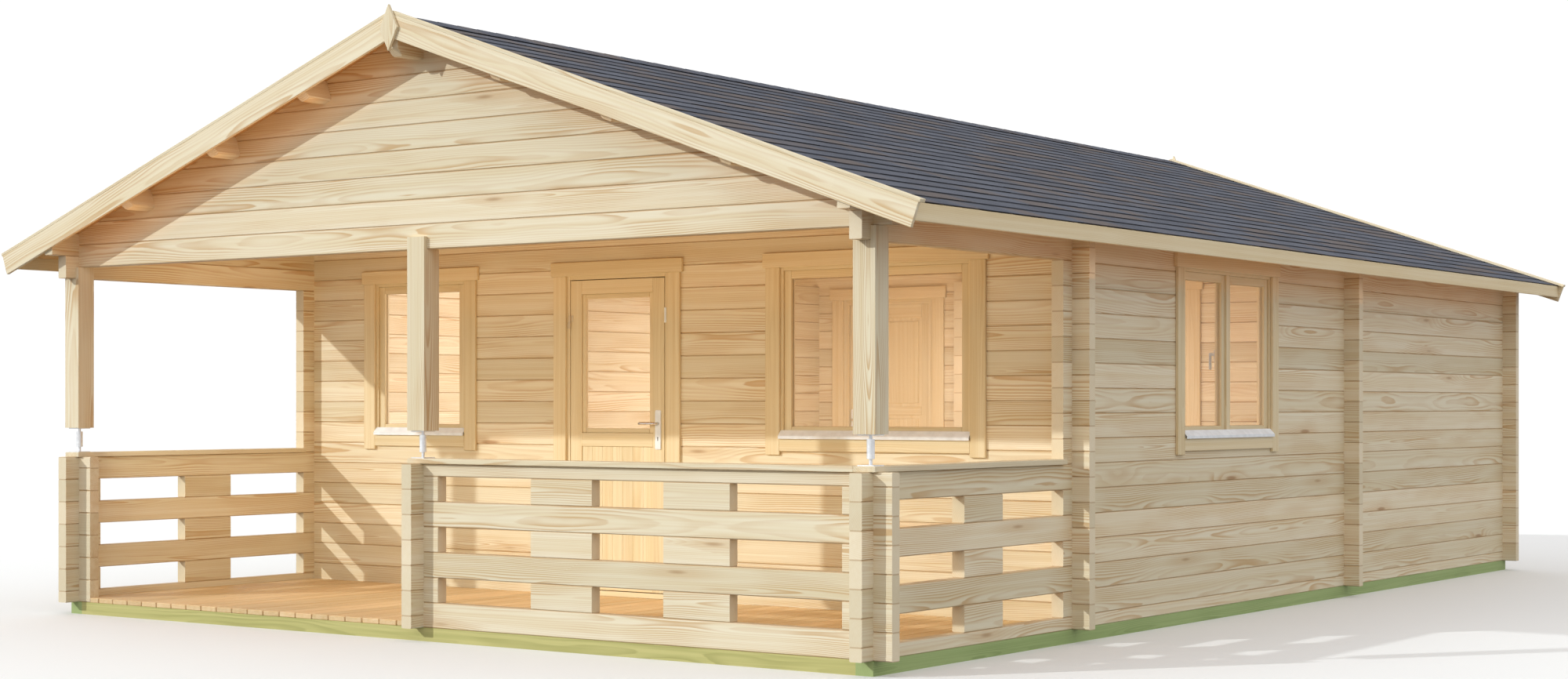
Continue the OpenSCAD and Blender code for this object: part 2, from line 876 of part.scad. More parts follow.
module window_casing(place) {
    apron_z = window_z - apron_h + casing_lap;
    casing(place, apron_z - casing_drop);
    block([place[0] - casing_w + casing_lap, -casing_t, apron_z],
          [place[0] + place[1] + casing_w - casing_lap, 0, window_z + casing_lap]);
}

// Same boards on the room side, without the lower drop
module inner_casing(place, foot) {
    translate([0, log_t, 0]) mirror([0, 1, 0]) casing(place, foot, inner_casing_w);
}

// Folded metal sill: its back flange is fixed to the frame, its slope leads the rain over the board below
module metal_sill(place) {
    x0 = place[0] + casing_lap;
    x1 = place[0] + place[1] - casing_lap;
    back_z = window_z + window_bar + sill_rise;
    front_z = back_z - sill_fall;
    foot_z = window_z + casing_lap;
    under = sill_sheet * norm([sill_out, sill_fall]) / sill_out;
    along_x(x0, x1)
        polygon([[0, back_z], [-sill_out, front_z], [-sill_out, front_z - sill_lip],
                 [-sill_out + sill_sheet, front_z - sill_lip],
                 [-sill_out + sill_sheet, front_z - under + sill_sheet * sill_fall / sill_out],
                 [-sill_sheet, back_z - under - sill_sheet * sill_fall / sill_out],
                 [-sill_sheet, foot_z], [0, foot_z]]);
}

module window_frames() {
    color(pine) each_window() window_frame($place);
}

module window_sashes() {
    color(warm_pine) each_window() sash($place);
}

module window_panes() {
    color(clear_glass) each_window() pane($place);
}

module window_casings() {
    color(warm_pine) each_window() {
        window_casing($place);
        inner_casing($place, window_z - apron_h);
    }
}

module window_sills() {
    color(white_metal) each_window() metal_sill($place);
}

// Doors. Local frame of a leaf: X from the hinge edge to the lock edge, Y from the hinge face inwards
threshold_z = deck_z + threshold_h;
leaf_z = threshold_z + door_gap;
leaf_top = window_top - jamb_w - door_gap;
leaf_h = leaf_top - leaf_z;
pin_x = -door_gap / 2;
pin_y = -knuckle_d / 2;

module on_front_door() {
    translate([front_door_x, cabin_y, leaf_z]) children();
}

// Inner doors open into the rear rooms, hung on their right
module on_inner_door(x) {
    translate([x + door_w, partition_y + log_t, leaf_z]) rotate([0, 0, 180]) children();
}

// Frame of a door in its wall: threshold, jambs, head, and the stop that the leaf closes on
module door_frame_shape() {
    stop_y = door_t + door_gap;
    stop_in = door_gap + stop_lap;
    foot = -leaf_z + deck_z;
    top = window_top - leaf_z;
    difference() {
        block([-frame_reach, 0, foot], [door_w + frame_reach, log_t, top]);
        block([-door_gap, -eps, -door_gap], [door_w + door_gap, stop_y, leaf_h + door_gap]);
        block([stop_in - door_gap, -eps, -door_gap],
              [door_w - stop_in + door_gap, log_t + eps, leaf_h - stop_in]);
    }
}

module door_frames() {
    color(pine) {
        on_front_door() door_frame_shape();
        for (x = inner_doors) on_inner_door(x) door_frame_shape();
    }
}

// Casings stand on the deck or on the room floor
module door_casings() {
    opening = [-frame_reach, door_w + 2 * frame_reach];
    color(warm_pine)
        for (x = concat(front_door_x, inner_doors)) {
            y = x == front_door_x ? cabin_y : partition_y;
            translate([x, y, 0]) {
                casing(opening, x == front_door_x ? deck_z : sill_h + floor_t);
                inner_casing(opening, sill_h + floor_t);
            }
        }
}

// Opening for a glass or a panel in a leaf, stepped back on both faces
module panel_recess(x0, x1, z0, z1) {
    for (y = [-eps, door_t - panel_in])
        block([x0, y, z0], [x1, y + panel_in + eps, z1]);
}

glass_z0 = lock_rail_z + lock_rail_h + bead_w;
spindle_x = door_w - stile_w / 2;
spindle_gap = 0.3;

module handle_bore() {
    translate([spindle_x, -eps, handle_z]) rotate([-90, 0, 0])
        cylinder(d = spindle_d + 2 * spindle_gap, h = door_t + 2 * eps);
}

module leaf_glass() {
    x0 = stile_w + bead_w - glass_in;
    block([x0, (door_t - glass_t) / 2, glass_z0 - glass_in],
          [door_w - x0, (door_t + glass_t) / 2, leaf_h - stile_w - bead_w + glass_in]);
}

module front_door_leaf() {
    panel_w = door_w - 2 * stile_w;
    boards = round(panel_w / panel_board);
    color(warm_pine) on_front_door() difference() {
        cube([door_w, door_t, leaf_h]);
        panel_recess(stile_w, door_w - stile_w, lock_rail_z + lock_rail_h, leaf_h - stile_w);
        block([stile_w + bead_w, -eps, glass_z0],
              [door_w - stile_w - bead_w, door_t + eps, leaf_h - stile_w - bead_w]);
        leaf_glass();
        panel_recess(stile_w, door_w - stile_w, foot_rail_h, lock_rail_z);
        for (i = [1 : boards - 1], y = [panel_in, door_t - panel_in])
            translate([stile_w + panel_w * i / boards, y, foot_rail_h]) rotate([0, 0, 45])
                translate([-groove_w / 2, -groove_w / 2, 0])
                    cube([groove_w, groove_w, lock_rail_z - foot_rail_h]);
        handle_bore();
    }
}

module front_door_pane() {
    color(clear_glass) on_front_door() leaf_glass();
}

// Inner leaf: a tall panel over a low one and a deep one, each raised in the middle
module inner_leaf_shape() {
    low_top = lock_rail_z;
    mid_low = low_top + inner_rail_h;
    mid_top = mid_low + middle_panel_h;
    top = leaf_h - stile_w - bead_w;
    panels = [[foot_rail_h, low_top], [mid_low, mid_top], [mid_top + inner_rail_h, top]];
    difference() {
        cube([door_w, door_t, leaf_h]);
        for (p = panels)
            difference() {
                panel_recess(stile_w, door_w - stile_w, p[0], p[1]);
                block([stile_w + panel_border, 0, p[0] + panel_border],
                      [door_w - stile_w - panel_border, door_t, p[1] - panel_border]);
            }
        handle_bore();
    }
}

module left_inner_leaf() {
    color(pine) on_inner_door(inner_doors[0]) inner_leaf_shape();
}

module right_inner_leaf() {
    color(pine) on_inner_door(inner_doors[1]) inner_leaf_shape();
}

// Handle on both faces of a leaf, on one spindle
module handle_side() {
    translate([-back_w / 2, -back_t, -back_h * 0.66]) cube([back_w, back_t, back_h]);
    rotate([90, 0, 0]) cylinder(d = lever_d, h = lever_reach);
    translate([lever_d / 2, -lever_reach + lever_d / 2, 0]) rotate([0, -90, 0])
        cylinder(d = lever_d, h = lever_l);
}

module handle_set() {
    translate([spindle_x, 0, handle_z]) {
        handle_side();
        translate([0, door_t, 0]) mirror([0, 1, 0]) handle_side();
        rotate([-90, 0, 0]) cylinder(d = spindle_d, h = door_t);
    }
}

module front_door_handle() {
    color(steel) on_front_door() handle_set();
}

module left_inner_handle() {
    color(steel) on_inner_door(inner_doors[0]) handle_set();
}

module right_inner_handle() {
    color(steel) on_inner_door(inner_doors[1]) handle_set();
}

// Lift-off hinges: the frame's half carries the pin, the leaf's half is bored for it
pin_gap = 0.3;
knuckle_gap = 0.5;
hinge_heights = [lower_hinge_z, upper_hinge_z];

module knuckle(reach) {
    cylinder(d = knuckle_d, h = knuckle_l);
    translate([min(0, reach), -pin_y - flap_t, 0]) cube([abs(reach), flap_t, knuckle_l]);
}

module frame_hinges() {
    for (z = hinge_heights)
        translate([pin_x, pin_y, z - knuckle_l - knuckle_gap]) {
            knuckle(-flap_w);
            cylinder(d = pin_d, h = 2 * knuckle_l - knuckle_gap);
        }
}

module leaf_hinges() {
    for (z = hinge_heights)
        translate([pin_x, pin_y, z])
            difference() {
                knuckle(flap_w);
                translate([0, 0, -eps]) cylinder(d = pin_d + 2 * pin_gap, h = knuckle_l + 2 * eps);
            }
}

module hinge_pins() {
    color(white_metal) {
        on_front_door() frame_hinges();
        for (x = inner_doors) on_inner_door(x) frame_hinges();
    }
}

module front_door_hinges() {
    color(white_metal) on_front_door() leaf_hinges();
}

module left_inner_hinges() {
    color(white_metal) on_inner_door(inner_doors[0]) leaf_hinges();
}

module right_inner_hinges() {
    color(white_metal) on_inner_door(inner_doors[1]) leaf_hinges();
}

side_sills();
cross_sills();
floor_joists();
terrace_deck();
room_floors();
front_wall_left();
front_wall_right();
front_wall_gable();
left_wall();
right_wall();
rear_wall();
rear_gable();
partition_wall();
partition_gable();
left_room_wall();
rear_room_wall();
terrace_gable();
terrace_beams();
wall_plates();
front_railing();
side_railings();
entry_newels();
front_handrail();
side_handrails();
terrace_posts();
post_screws();
purlins();
left_roof_boards();
right_roof_boards();
left_shingles();
right_shingles();
ridge_cap();
left_bargeboards();
right_bargeboards();
finials();
eave_fascias();
window_frames();
window_sashes();
window_panes();
window_casings();
window_sills();
door_frames();
door_casings();
hinge_pins();
front_door_leaf();
front_door_pane();
front_door_hinges();
front_door_handle();
left_inner_leaf();
left_inner_hinges();
left_inner_handle();
right_inner_leaf();
right_inner_hinges();
right_inner_handle();
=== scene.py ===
"""Looks of the log cabin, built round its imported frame.

The logs keep the frame's solids and get a finish of growth rings. Boards, shingles, screws and screw
threads are grown by Geometry Nodes. Doors, windows and handles are joined from bevelled bars.
Lengths are metres in the frame's own axes: +X right, +Y back, +Z up.
"""

from __future__ import annotations

import json
import logging
import math
import random
from dataclasses import dataclass, field
from enum import Enum
from itertools import product
from typing import Optional, Sequence, Union

import bmesh
import bpy
from mathutils import Matrix, Vector

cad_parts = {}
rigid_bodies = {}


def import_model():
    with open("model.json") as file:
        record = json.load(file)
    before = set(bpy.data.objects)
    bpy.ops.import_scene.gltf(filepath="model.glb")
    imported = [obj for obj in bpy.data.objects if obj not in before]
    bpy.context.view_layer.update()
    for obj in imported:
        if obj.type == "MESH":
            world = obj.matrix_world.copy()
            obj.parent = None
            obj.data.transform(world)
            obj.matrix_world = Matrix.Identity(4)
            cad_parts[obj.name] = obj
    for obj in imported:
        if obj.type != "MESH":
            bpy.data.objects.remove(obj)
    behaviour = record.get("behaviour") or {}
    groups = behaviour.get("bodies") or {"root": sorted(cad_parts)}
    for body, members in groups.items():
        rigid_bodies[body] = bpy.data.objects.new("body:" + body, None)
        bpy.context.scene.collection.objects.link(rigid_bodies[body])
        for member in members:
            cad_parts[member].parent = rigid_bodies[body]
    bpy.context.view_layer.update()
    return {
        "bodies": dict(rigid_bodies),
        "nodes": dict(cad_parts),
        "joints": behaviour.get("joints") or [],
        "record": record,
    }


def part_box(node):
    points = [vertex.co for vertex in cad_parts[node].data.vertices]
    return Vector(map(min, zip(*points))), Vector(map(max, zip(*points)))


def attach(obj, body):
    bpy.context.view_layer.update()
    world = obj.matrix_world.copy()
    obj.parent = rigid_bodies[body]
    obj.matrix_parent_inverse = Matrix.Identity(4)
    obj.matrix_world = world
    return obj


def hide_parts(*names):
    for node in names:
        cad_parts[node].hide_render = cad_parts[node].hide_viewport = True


log = logging.getLogger("cabin")

Socket = bpy.types.NodeSocket
Finish = bpy.types.Material
Colour = tuple[float, float, float]
Point = tuple[float, float, float]
Span = tuple[float, float]
Value = Union[float, int, str, Sequence[float], Socket, Finish]

CABIN = "cabin"

LOG_H = 0.134
LOG_T = 0.068
LOG_END = 0.100
SILL_H = 0.072
ROOF_PITCH = math.radians(20)
ROOF_FALL = math.tan(ROOF_PITCH)
ROOF_COS = math.cos(ROOF_PITCH)
ROOF_SIN = math.sin(ROOF_PITCH)

RIGHT = Vector((1, 0, 0))
BACK = Vector((0, 1, 0))
UP = Vector((0, 0, 1))
STILL = (0.0, 0.0, 0.0)
HAIR = 1e-6
WELD = 1e-5
CLOSE = 1e-4
BEVEL_PROFILE = 0.6


class Net:
    """A node tree under construction, with short calls for the nodes that finishes and shapes share."""

    def __init__(self, tree: bpy.types.NodeTree) -> None:
        """Keep the tree that is being filled."""
        self.tree = tree

    def add(self, kind: str, **settings: object) -> bpy.types.Node:
        """Add one node.

        Args:
            kind: Blender's name for the node's type.
            settings: properties to set on it.

        Returns:
            The new node.
        """
        node = self.tree.nodes.new(kind)
        for name, value in settings.items():
            setattr(node, name, value)
        return node

    def feed(self, socket: Socket, value: Value) -> None:
        """Link a socket to another one, or set its own value.

        Args:
            socket: input to fill.
            value: output of another node, or a plain value.
        """
        if isinstance(value, Socket):
            self.tree.links.new(value, socket)
        else:
            socket.default_value = value

    def fill(self, node: bpy.types.Node, values: dict[Union[str, int], Value]) -> bpy.types.Node:
        """Feed several inputs of a node.

        Args:
            node: node to fill.
            values: what goes in each input, by the input's name or number.

        Returns:
            The same node.
        """
        for key, value in values.items():
            self.feed(node.inputs[key], value)
        return node

    def math(self, operation: str, *values: Value) -> Socket:
        """Result of a Math node on the given values."""
        node = self.add("ShaderNodeMath", operation=operation)
        return self.fill(node, dict(enumerate(values))).outputs[0]

    def scaled(self, value: Value, factor: float, shift: float = 0.0) -> Socket:
        """A value times a factor, plus a shift."""
        return self.math("MULTIPLY_ADD", value, factor, shift)

    def centred(self, value: Value, width: float) -> Socket:
        """A number from 0 to 1, spread over a width round 0."""
        return self.scaled(value, width, -width / 2)

    def vector(self, x: Value, y: Value, z: Value) -> Socket:
        """Vector made of three values."""
        return self.fill(self.add("ShaderNodeCombineXYZ"), {0: x, 1: y, 2: z}).outputs[0]

    def split(self, vector: Socket) -> list[Socket]:
        """The three parts of a vector or colour."""
        return list(self.fill(self.add("ShaderNodeSeparateXYZ"), {0: vector}).outputs)

    def stretched(self, place: Sequence[Value], stretch: Span) -> Socket:
        """Scale a place in a stick.

        Args:
            place: lengths along, across and up.
            stretch: factors along the fibres and across them.

        Returns:
            The scaled place, as a vector.
        """
        factors = (stretch[0], stretch[1], stretch[1])
        return self.vector(*(self.scaled(part, factor) for part, factor in zip(place, factors)))

    def ramp(self, value: Value, low: float, high: float, floor: float = 0.0, top: float = 1.0) -> Socket:
        """Smooth step between two numbers.

        Args:
            value: what the step depends on.
            low: value at which it is at its floor.
            high: value at which it is at its top.
            floor: number at the low end.
            top: number at the high end.

        Returns:
            The number.
        """
        node = self.add("ShaderNodeMapRange", interpolation_type="SMOOTHSTEP")
        self.fill(node, {"Value": value, "From Min": low, "From Max": high, "To Min": floor, "To Max": top})
        return node.outputs["Result"]

    def noise(self, vector: Value, scale: float = 1.0, detail: float = 2.0) -> bpy.types.Node:
        """Noise texture over a vector."""
        return self.fill(self.add("ShaderNodeTexNoise"), {"Vector": vector, "Scale": scale, "Detail": detail})

    def mix(self, factor: Value, first: Value, second: Value, blend: str = "MIX") -> Socket:
        """Mix two colours.

        Args:
            factor: share of the second one.
            first: colour under it.
            second: colour over it.
            blend: Blender's name for the way of mixing.

        Returns:
            The mixed colour.
        """
        node = self.add("ShaderNodeMix", data_type="RGBA", blend_type=blend)
        under, over = ((*shade, 1.0) if isinstance(shade, tuple) else shade for shade in (first, second))
        return self.fill(node, {0: factor, 6: under, 7: over}).outputs[2]

    def chosen(self, factor: Value, first: Value, second: Value) -> Socket:
        """Number between two others."""
        node = self.add("ShaderNodeMix", data_type="FLOAT")
        return self.fill(node, {0: factor, 2: first, 3: second}).outputs[0]

    def place(self) -> Socket:
        """Place of a surface point in the frame's axes."""
        return self.add("ShaderNodeTexCoord").outputs["Object"]

    def attribute(self, name: str, output: str = "Fac") -> Socket:
        """Value that the mesh carries under a name."""
        return self.add("ShaderNodeAttribute", attribute_name=name).outputs[output]


def new_finish(name: str) -> tuple[Finish, Net, bpy.types.Node]:
    """Start a finish.

    Args:
        name: name of the material.

    Returns:
        The material, its node tree and its surface shader.
    """
    material = bpy.data.materials.new(name)
    material.use_nodes = True
    net = Net(material.node_tree)
    return material, net, material.node_tree.nodes["Principled BSDF"]


def add_bump(net: Net, shader: bpy.types.Node, height: Value, strength: float, depth: float) -> None:
    """Give a surface fine relief."""
    bump = net.fill(net.add("ShaderNodeBump"), {"Strength": strength, "Distance": depth, "Height": height})
    net.feed(shader.inputs["Normal"], bump.outputs["Normal"])


class Grain(Enum):
    """How the fibres of a piece run, and what tells one stick from the next."""

    CROSS_LOGS = "logs across the house, stacked"
    LONG_LOGS = "logs along the house, stacked"
    NEWELS = "short logs, across at the corner and lengthwise beside the entry"
    PURLINS = "beams along the house under the roof"
    POSTS = "upright posts"
    SIDE_SILLS = "beams along both sides on the ground"
    CROSS_SILLS = "beams across the house on the ground"
    BOARDS = "boards that carry their own grain"


@dataclass(frozen=True)
class GrainSpace:
    """Place of a surface point in its stick: along the fibres, across them and up."""

    grain: Grain
    centre: float = 0.0
    post_x: float = 2.766
    post_y: float = -4.626
    sill_x: float = 2.7525
    purlin_step: float = 0.710
    purlin_mid: float = 3.2
    sill_step: float = 0.5
    board_seed: float = 91.0
    copy_seed: float = 73.0

    @property
    def stacked(self) -> bool:
        """Whether the sticks lie on one another with seams between them."""
        return self.grain in (Grain.CROSS_LOGS, Grain.LONG_LOGS, Grain.NEWELS)

    @property
    def end_axis(self) -> Optional[int]:
        """Axis that the sawn ends face, or None where a board's ends aren't told apart."""
        facing = {Grain.CROSS_LOGS: 0, Grain.CROSS_SILLS: 0, Grain.POSTS: 2, Grain.BOARDS: None}
        return facing.get(self.grain, 1)

    def sockets(self, net: Net) -> tuple[list[Socket], Socket]:
        """Work the place out in a node tree.

        Args:
            net: tree to add the nodes to.

        Returns:
            Lengths along, across and up in the stick, and a seed vector of its own.
        """
        if self.grain is Grain.BOARDS:
            board = net.scaled(net.attribute("board"), self.board_seed)
            copy = net.scaled(net.attribute("copy"), self.copy_seed)
            return net.split(net.attribute("wood_co", "Vector")), net.vector(board, copy, 3.0)
        x, y, z = net.split(net.place())
        if self.grain is Grain.CROSS_LOGS:
            return self._stack(net, (x, y, z), 0.0)
        if self.grain is Grain.LONG_LOGS:
            return self._stack(net, (y, x, z), -0.5)
        if self.grain is Grain.NEWELS:
            beside = net.math("GREATER_THAN", x, -self.post_x / 2)
            along = net.chosen(beside, x, y)
            side = net.chosen(beside, net.scaled(y, 1.0, -self.post_y), x)
            row = net.scaled(z, 1 / LOG_H, -SILL_H / LOG_H)
            row = net.math("SUBTRACT", row, net.scaled(beside, 0.5))
            return self._rows(net, (along, side, row), beside)
        if self.grain is Grain.POSTS:
            return self._cells(net, (z, x, net.scaled(y, 1.0, -self.post_y)), self.post_x)
        if self.grain is Grain.PURLINS:
            drop = net.scaled(net.math("ABSOLUTE", x), ROOF_FALL, -self.purlin_mid)
            return self._cells(net, (y, x, net.math("ADD", z, drop)), self.purlin_step)
        height = net.scaled(z, 1.0, -SILL_H / 2)
        if self.grain is Grain.SIDE_SILLS:
            return self._cells(net, (y, x, height), self.sill_x)
        return self._cells(net, (x, y, height), self.sill_step)

    def _stack(self, net: Net, place: Sequence[Value], shift: float) -> tuple[list[Socket], Socket]:
        """Find the place in a wall of stacked logs.

        Args:
            net: tree to add the nodes to.
            place: lengths along the wall, across it and up.
            shift: height of the seams, in rows, over those of the cross walls.

        Returns:
            The same as sockets.
        """
        along, side, z = place
        row = net.scaled(z, 1 / LOG_H, shift - SILL_H / LOG_H)
        wall = net.math("FLOOR", net.scaled(side, 1.0, 0.5))
        across = net.scaled(net.math("ABSOLUTE", side), 1.0, -abs(self.centre))
        return self._rows(net, (along, across, row), wall)

    @staticmethod
    def _rows(net: Net, place: Sequence[Value], wall: Value) -> tuple[list[Socket], Socket]:
        """Find the place in a stack.

        Args:
            net: tree to add the nodes to.
            place: lengths along and across, and the height in rows of logs.
            wall: number of the wall.

        Returns:
            The same as sockets.
        """
        along, across, row = place
        level = net.math("FLOOR", row)
        up = net.centred(net.math("FRACT", row), LOG_H)
        return [along, across, up], net.vector(level, wall, 11.0)

    @staticmethod
    def _cells(net: Net, place: Sequence[Value], step: float) -> tuple[list[Socket], Socket]:
        """Find the place in sticks that lie side by side.

        Args:
            net: tree to add the nodes to.
            place: lengths along, across and up.
            step: distance from one stick's middle to the next.

        Returns:
            The same as sockets.
        """
        along, across, up = place
        cell = net.math("ROUND", net.scaled(across, 1 / step))
        inside = net.math("SUBTRACT", across, net.scaled(cell, step))
        return [along, inside, up], net.vector(cell, 5.0, 2.0)


@dataclass(frozen=True)
class Timber:
    """Planed softwood: growth rings, streaks, knots, a tone of its own for each stick, and painted shade in
    the seams of stacked logs.
    """

    name: str
    light: Colour
    mid: Colour
    dark: Colour
    knot: Colour
    end: Colour
    ring: float = 0.0085
    ring_depth: float = 0.74
    knots: float = 0.87
    tone: float = 0.16
    roughness: float = 0.58
    # Colour and band of the painted shade in the grooves between stacked logs.
    seam_shade: Colour = (0.42, 0.23, 0.085)
    seam_shade_h: float = 0.0052
    seam_shade_core: float = 0.0015
    run_spread: float = 60.0
    pith_spread: Span = (0.22, 0.16)
    drift: Span = (0.55, 2.5)
    drift_depth: Span = (0.09, 0.11)
    ripple: Span = (3.0, 22.0)
    ripple_depth: float = 0.007
    knot_cells: Span = (1.35, 8.0)
    knot_push: float = 0.016
    figure: Span = (1.1, 5.0)
    streaks: Span = (0.7, 46.0)

    def make(self, space: GrainSpace) -> Finish:
        """Build the finish for one way of lying.

        Args:
            space: how the piece's fibres run.

        Returns:
            The new material.
        """
        material, net, shader = new_finish(f"{self.name} {space.grain.name.lower()} {abs(space.centre):.2f}")
        (along, across, up), seed = space.sockets(net)
        chance = net.fill(net.add("ShaderNodeTexWhiteNoise", noise_dimensions="3D"), {"Vector": seed})
        first, second, third = net.split(chance.outputs["Color"])
        place = (net.math("ADD", along, net.scaled(first, self.run_spread)), across, up)
        halo, heart = self._knots(net, place)
        late = self._late_wood(net, place, (second, third), halo)
        streak = net.noise(net.stretched(place, self.streaks), detail=3.0)
        soft = net.ramp(streak.outputs["Fac"], 0.3, 0.72)

        colour = net.mix(soft, self.light, self.mid)
        colour = net.mix(net.scaled(late, self.ring_depth), colour, self.dark)
        colour = net.mix(net.scaled(halo, 0.35), colour, self.dark)
        colour = net.mix(net.scaled(heart, 0.7), colour, self.knot)
        if space.end_axis is not None:
            normal = net.split(net.add("ShaderNodeTexCoord").outputs["Normal"])
            sawn = net.ramp(net.math("ABSOLUTE", normal[space.end_axis]), 0.75, 0.95, 0.0, 0.75)
            colour = net.mix(sawn, colour, self.end)
        tone = net.scaled(third, self.tone, 1.0 - self.tone * 0.6)
        colour = net.mix(1.0, colour, net.vector(tone, tone, net.math("POWER", tone, 1.25)), "MULTIPLY")
        # Painted shade in the grooves between stacked logs: a brown line darkens each log's top and bottom
        # edge.
        if space.stacked:
            edge = LOG_H / 2
            seam_shade_mask = net.ramp(net.math("ABSOLUTE", up), edge - self.seam_shade_h, edge - self.seam_shade_core, 0.0, 0.5)
            colour = net.mix(seam_shade_mask, colour, self.seam_shade)
        net.fill(shader, {"Base Color": colour, "Roughness": self.roughness, "Specular IOR Level": 0.25})
        add_bump(net, shader, net.math("ADD", net.scaled(late, 0.5), net.scaled(soft, 0.5)), 0.12, 0.0012)
        return material

    def _knots(self, net: Net, place: Sequence[Value]) -> tuple[Socket, Socket]:
        """Scatter knots.

        Args:
            net: tree to add the nodes to.
            place: lengths along, across and up in the stick.

        Returns:
            How far a point lies in the wood round a knot, and in the knot itself.
        """
        cells = net.add("ShaderNodeTexVoronoi")
        net.fill(cells, {"Scale": 1.0, "Vector": net.stretched(place, self.knot_cells)})
        there = net.math("GREATER_THAN", net.split(cells.outputs["Color"])[0], self.knots)
        away = cells.outputs["Distance"]
        halo = net.math("MULTIPLY", there, net.ramp(away, 0.5, 0.05))
        return halo, net.math("MULTIPLY", there, net.ramp(away, 0.14, 0.06))

    def _late_wood(self, net: Net, place: Sequence[Value], chance: Sequence[Value], halo: Value) -> Socket:
        """Draw the dark late wood of the growth rings.

        Args:
            net: tree to add the nodes to.
            place: lengths along, across and up in the stick.
            chance: two chance numbers of the stick, for the place of its pith.
            halo: how far a point lies in the wood round a knot.

        Returns:
            Strength of the late wood.
        """
        drift = net.split(net.noise(net.stretched(place, self.drift)).outputs["Color"])
        away = []
        sides = zip(place[1:], chance, self.pith_spread, drift, self.drift_depth)
        for side, number, spread, wave, depth in sides:
            pith = net.math("ADD", net.centred(number, spread), net.centred(wave, depth))
            away.append(net.math("SUBTRACT", side, pith))
        length = net.fill(net.add("ShaderNodeVectorMath", operation="LENGTH"), {0: net.vector(0.0, *away)})
        ripple = net.noise(net.stretched(place, self.ripple)).outputs["Fac"]
        radius = net.math("ADD", length.outputs["Value"], net.centred(ripple, self.ripple_depth))
        radius = net.math("ADD", radius, net.scaled(halo, self.knot_push))
        phase = net.math("FRACT", net.scaled(radius, 1 / self.ring))
        late = net.math("MULTIPLY", net.ramp(phase, 0.25, 0.86), net.ramp(phase, 1.0, 0.9))
        mask = net.noise(net.stretched(place, self.figure)).outputs["Fac"]
        return net.math("MULTIPLY", late, net.ramp(mask, 0.45, 0.62, 0.3, 1.0))


PINE = Timber("pale pine", (0.87, 0.775, 0.585), (0.80, 0.675, 0.455), (0.60, 0.365, 0.155),
              (0.36, 0.175, 0.065), (0.82, 0.70, 0.50))
JOINERY_PINE = Timber("joinery pine", (0.86, 0.725, 0.49), (0.79, 0.63, 0.375), (0.64, 0.445, 0.205),
                      (0.36, 0.19, 0.075), (0.82, 0.68, 0.44), ring_depth=0.42, knots=0.93, tone=0.10)
DECK_PINE = Timber("deck pine", (0.86, 0.645, 0.385), (0.78, 0.535, 0.27), (0.61, 0.345, 0.13),
                   (0.34, 0.17, 0.065), (0.80, 0.62, 0.38), tone=0.26)
# The roof boards' pine, darker and more orange than the logs: painted warm shade under the roof.
SHADED_ROOF_PINE = Timber("roof pine", (0.80, 0.53, 0.25), (0.69, 0.41, 0.165), (0.52, 0.27, 0.09),
                   (0.27, 0.13, 0.05), (0.74, 0.52, 0.26), ring=0.007, tone=0.2)
GREEN_TIMBER = Timber("green treated timber", (0.39, 0.49, 0.20), (0.325, 0.43, 0.16), (0.25, 0.335, 0.115),
                      (0.16, 0.17, 0.06), (0.42, 0.50, 0.21), ring=0.009, tone=0.10)
OLIVE_TIMBER = Timber("olive treated timber", (0.63, 0.575, 0.235), (0.52, 0.49, 0.18), (0.41, 0.385, 0.13),
                      (0.20, 0.17, 0.06), (0.55, 0.53, 0.21), ring=0.009, tone=0.10)


@dataclass(frozen=True)
class Shingles:
    """Bitumen shingles under mineral granules: slate blue, clouded with brown along the courses, with a
    painted shadow under every course's butt edge.
    """

    blue: Colour = (0.106, 0.115, 0.147)
    deep: Colour = (0.077, 0.084, 0.110)
    brown: Colour = (0.142, 0.110, 0.094)
    grit: Colour = (0.21, 0.215, 0.24)
    # Colour of the painted shadow under the butt edge of each course.
    shade: Colour = (0.012, 0.013, 0.018)
    course_stride: float = 7.3
    slope_stride: float = 300.0
    cloud_run: float = 1.4
    patch_run: float = 1.7
    patch_shift: float = 50.0
    grit_scale: float = 420.0

    def make(self) -> Finish:
        """Build the finish.

        Returns:
            The new material.
        """
        material, net, shader = new_finish("mineral shingle")
        place = net.place()
        x, y, _ = net.split(place)
        course = net.attribute("course")
        copy = net.attribute("copy")
        row = net.math("ADD", net.scaled(net.math("FLOOR", course), self.course_stride),
                       net.scaled(net.math("SIGN", x), self.slope_stride))
        cloud = net.noise(net.vector(row, net.scaled(y, self.cloud_run), net.scaled(copy, 0.6)))
        far_row = net.scaled(row, self.patch_run, self.patch_shift)
        patches = net.vector(far_row, net.scaled(y, self.patch_run), net.scaled(copy, 0.5))
        patch = net.noise(patches, detail=1.5)
        grit = net.noise(place, self.grit_scale).outputs["Fac"]
        colour = net.mix(net.ramp(cloud.outputs["Fac"], 0.35, 0.65), self.deep, self.blue)
        colour = net.mix(net.ramp(patch.outputs["Fac"], 0.5, 0.64, 0.0, 0.7), colour, self.brown)
        colour = net.mix(net.ramp(grit, 0.55, 0.75, 0.0, 0.3), colour, self.grit)
        # Painted shadow: darker just under the butt edge of the course above.
        colour = net.mix(net.ramp(net.math("FRACT", course), 0.79, 0.88, 0.0, 0.9), colour, self.shade)
        net.fill(shader, {"Base Color": colour, "Roughness": 0.9, "Specular IOR Level": 0.2})
        add_bump(net, shader, grit, 0.5, 0.0012)
        return material


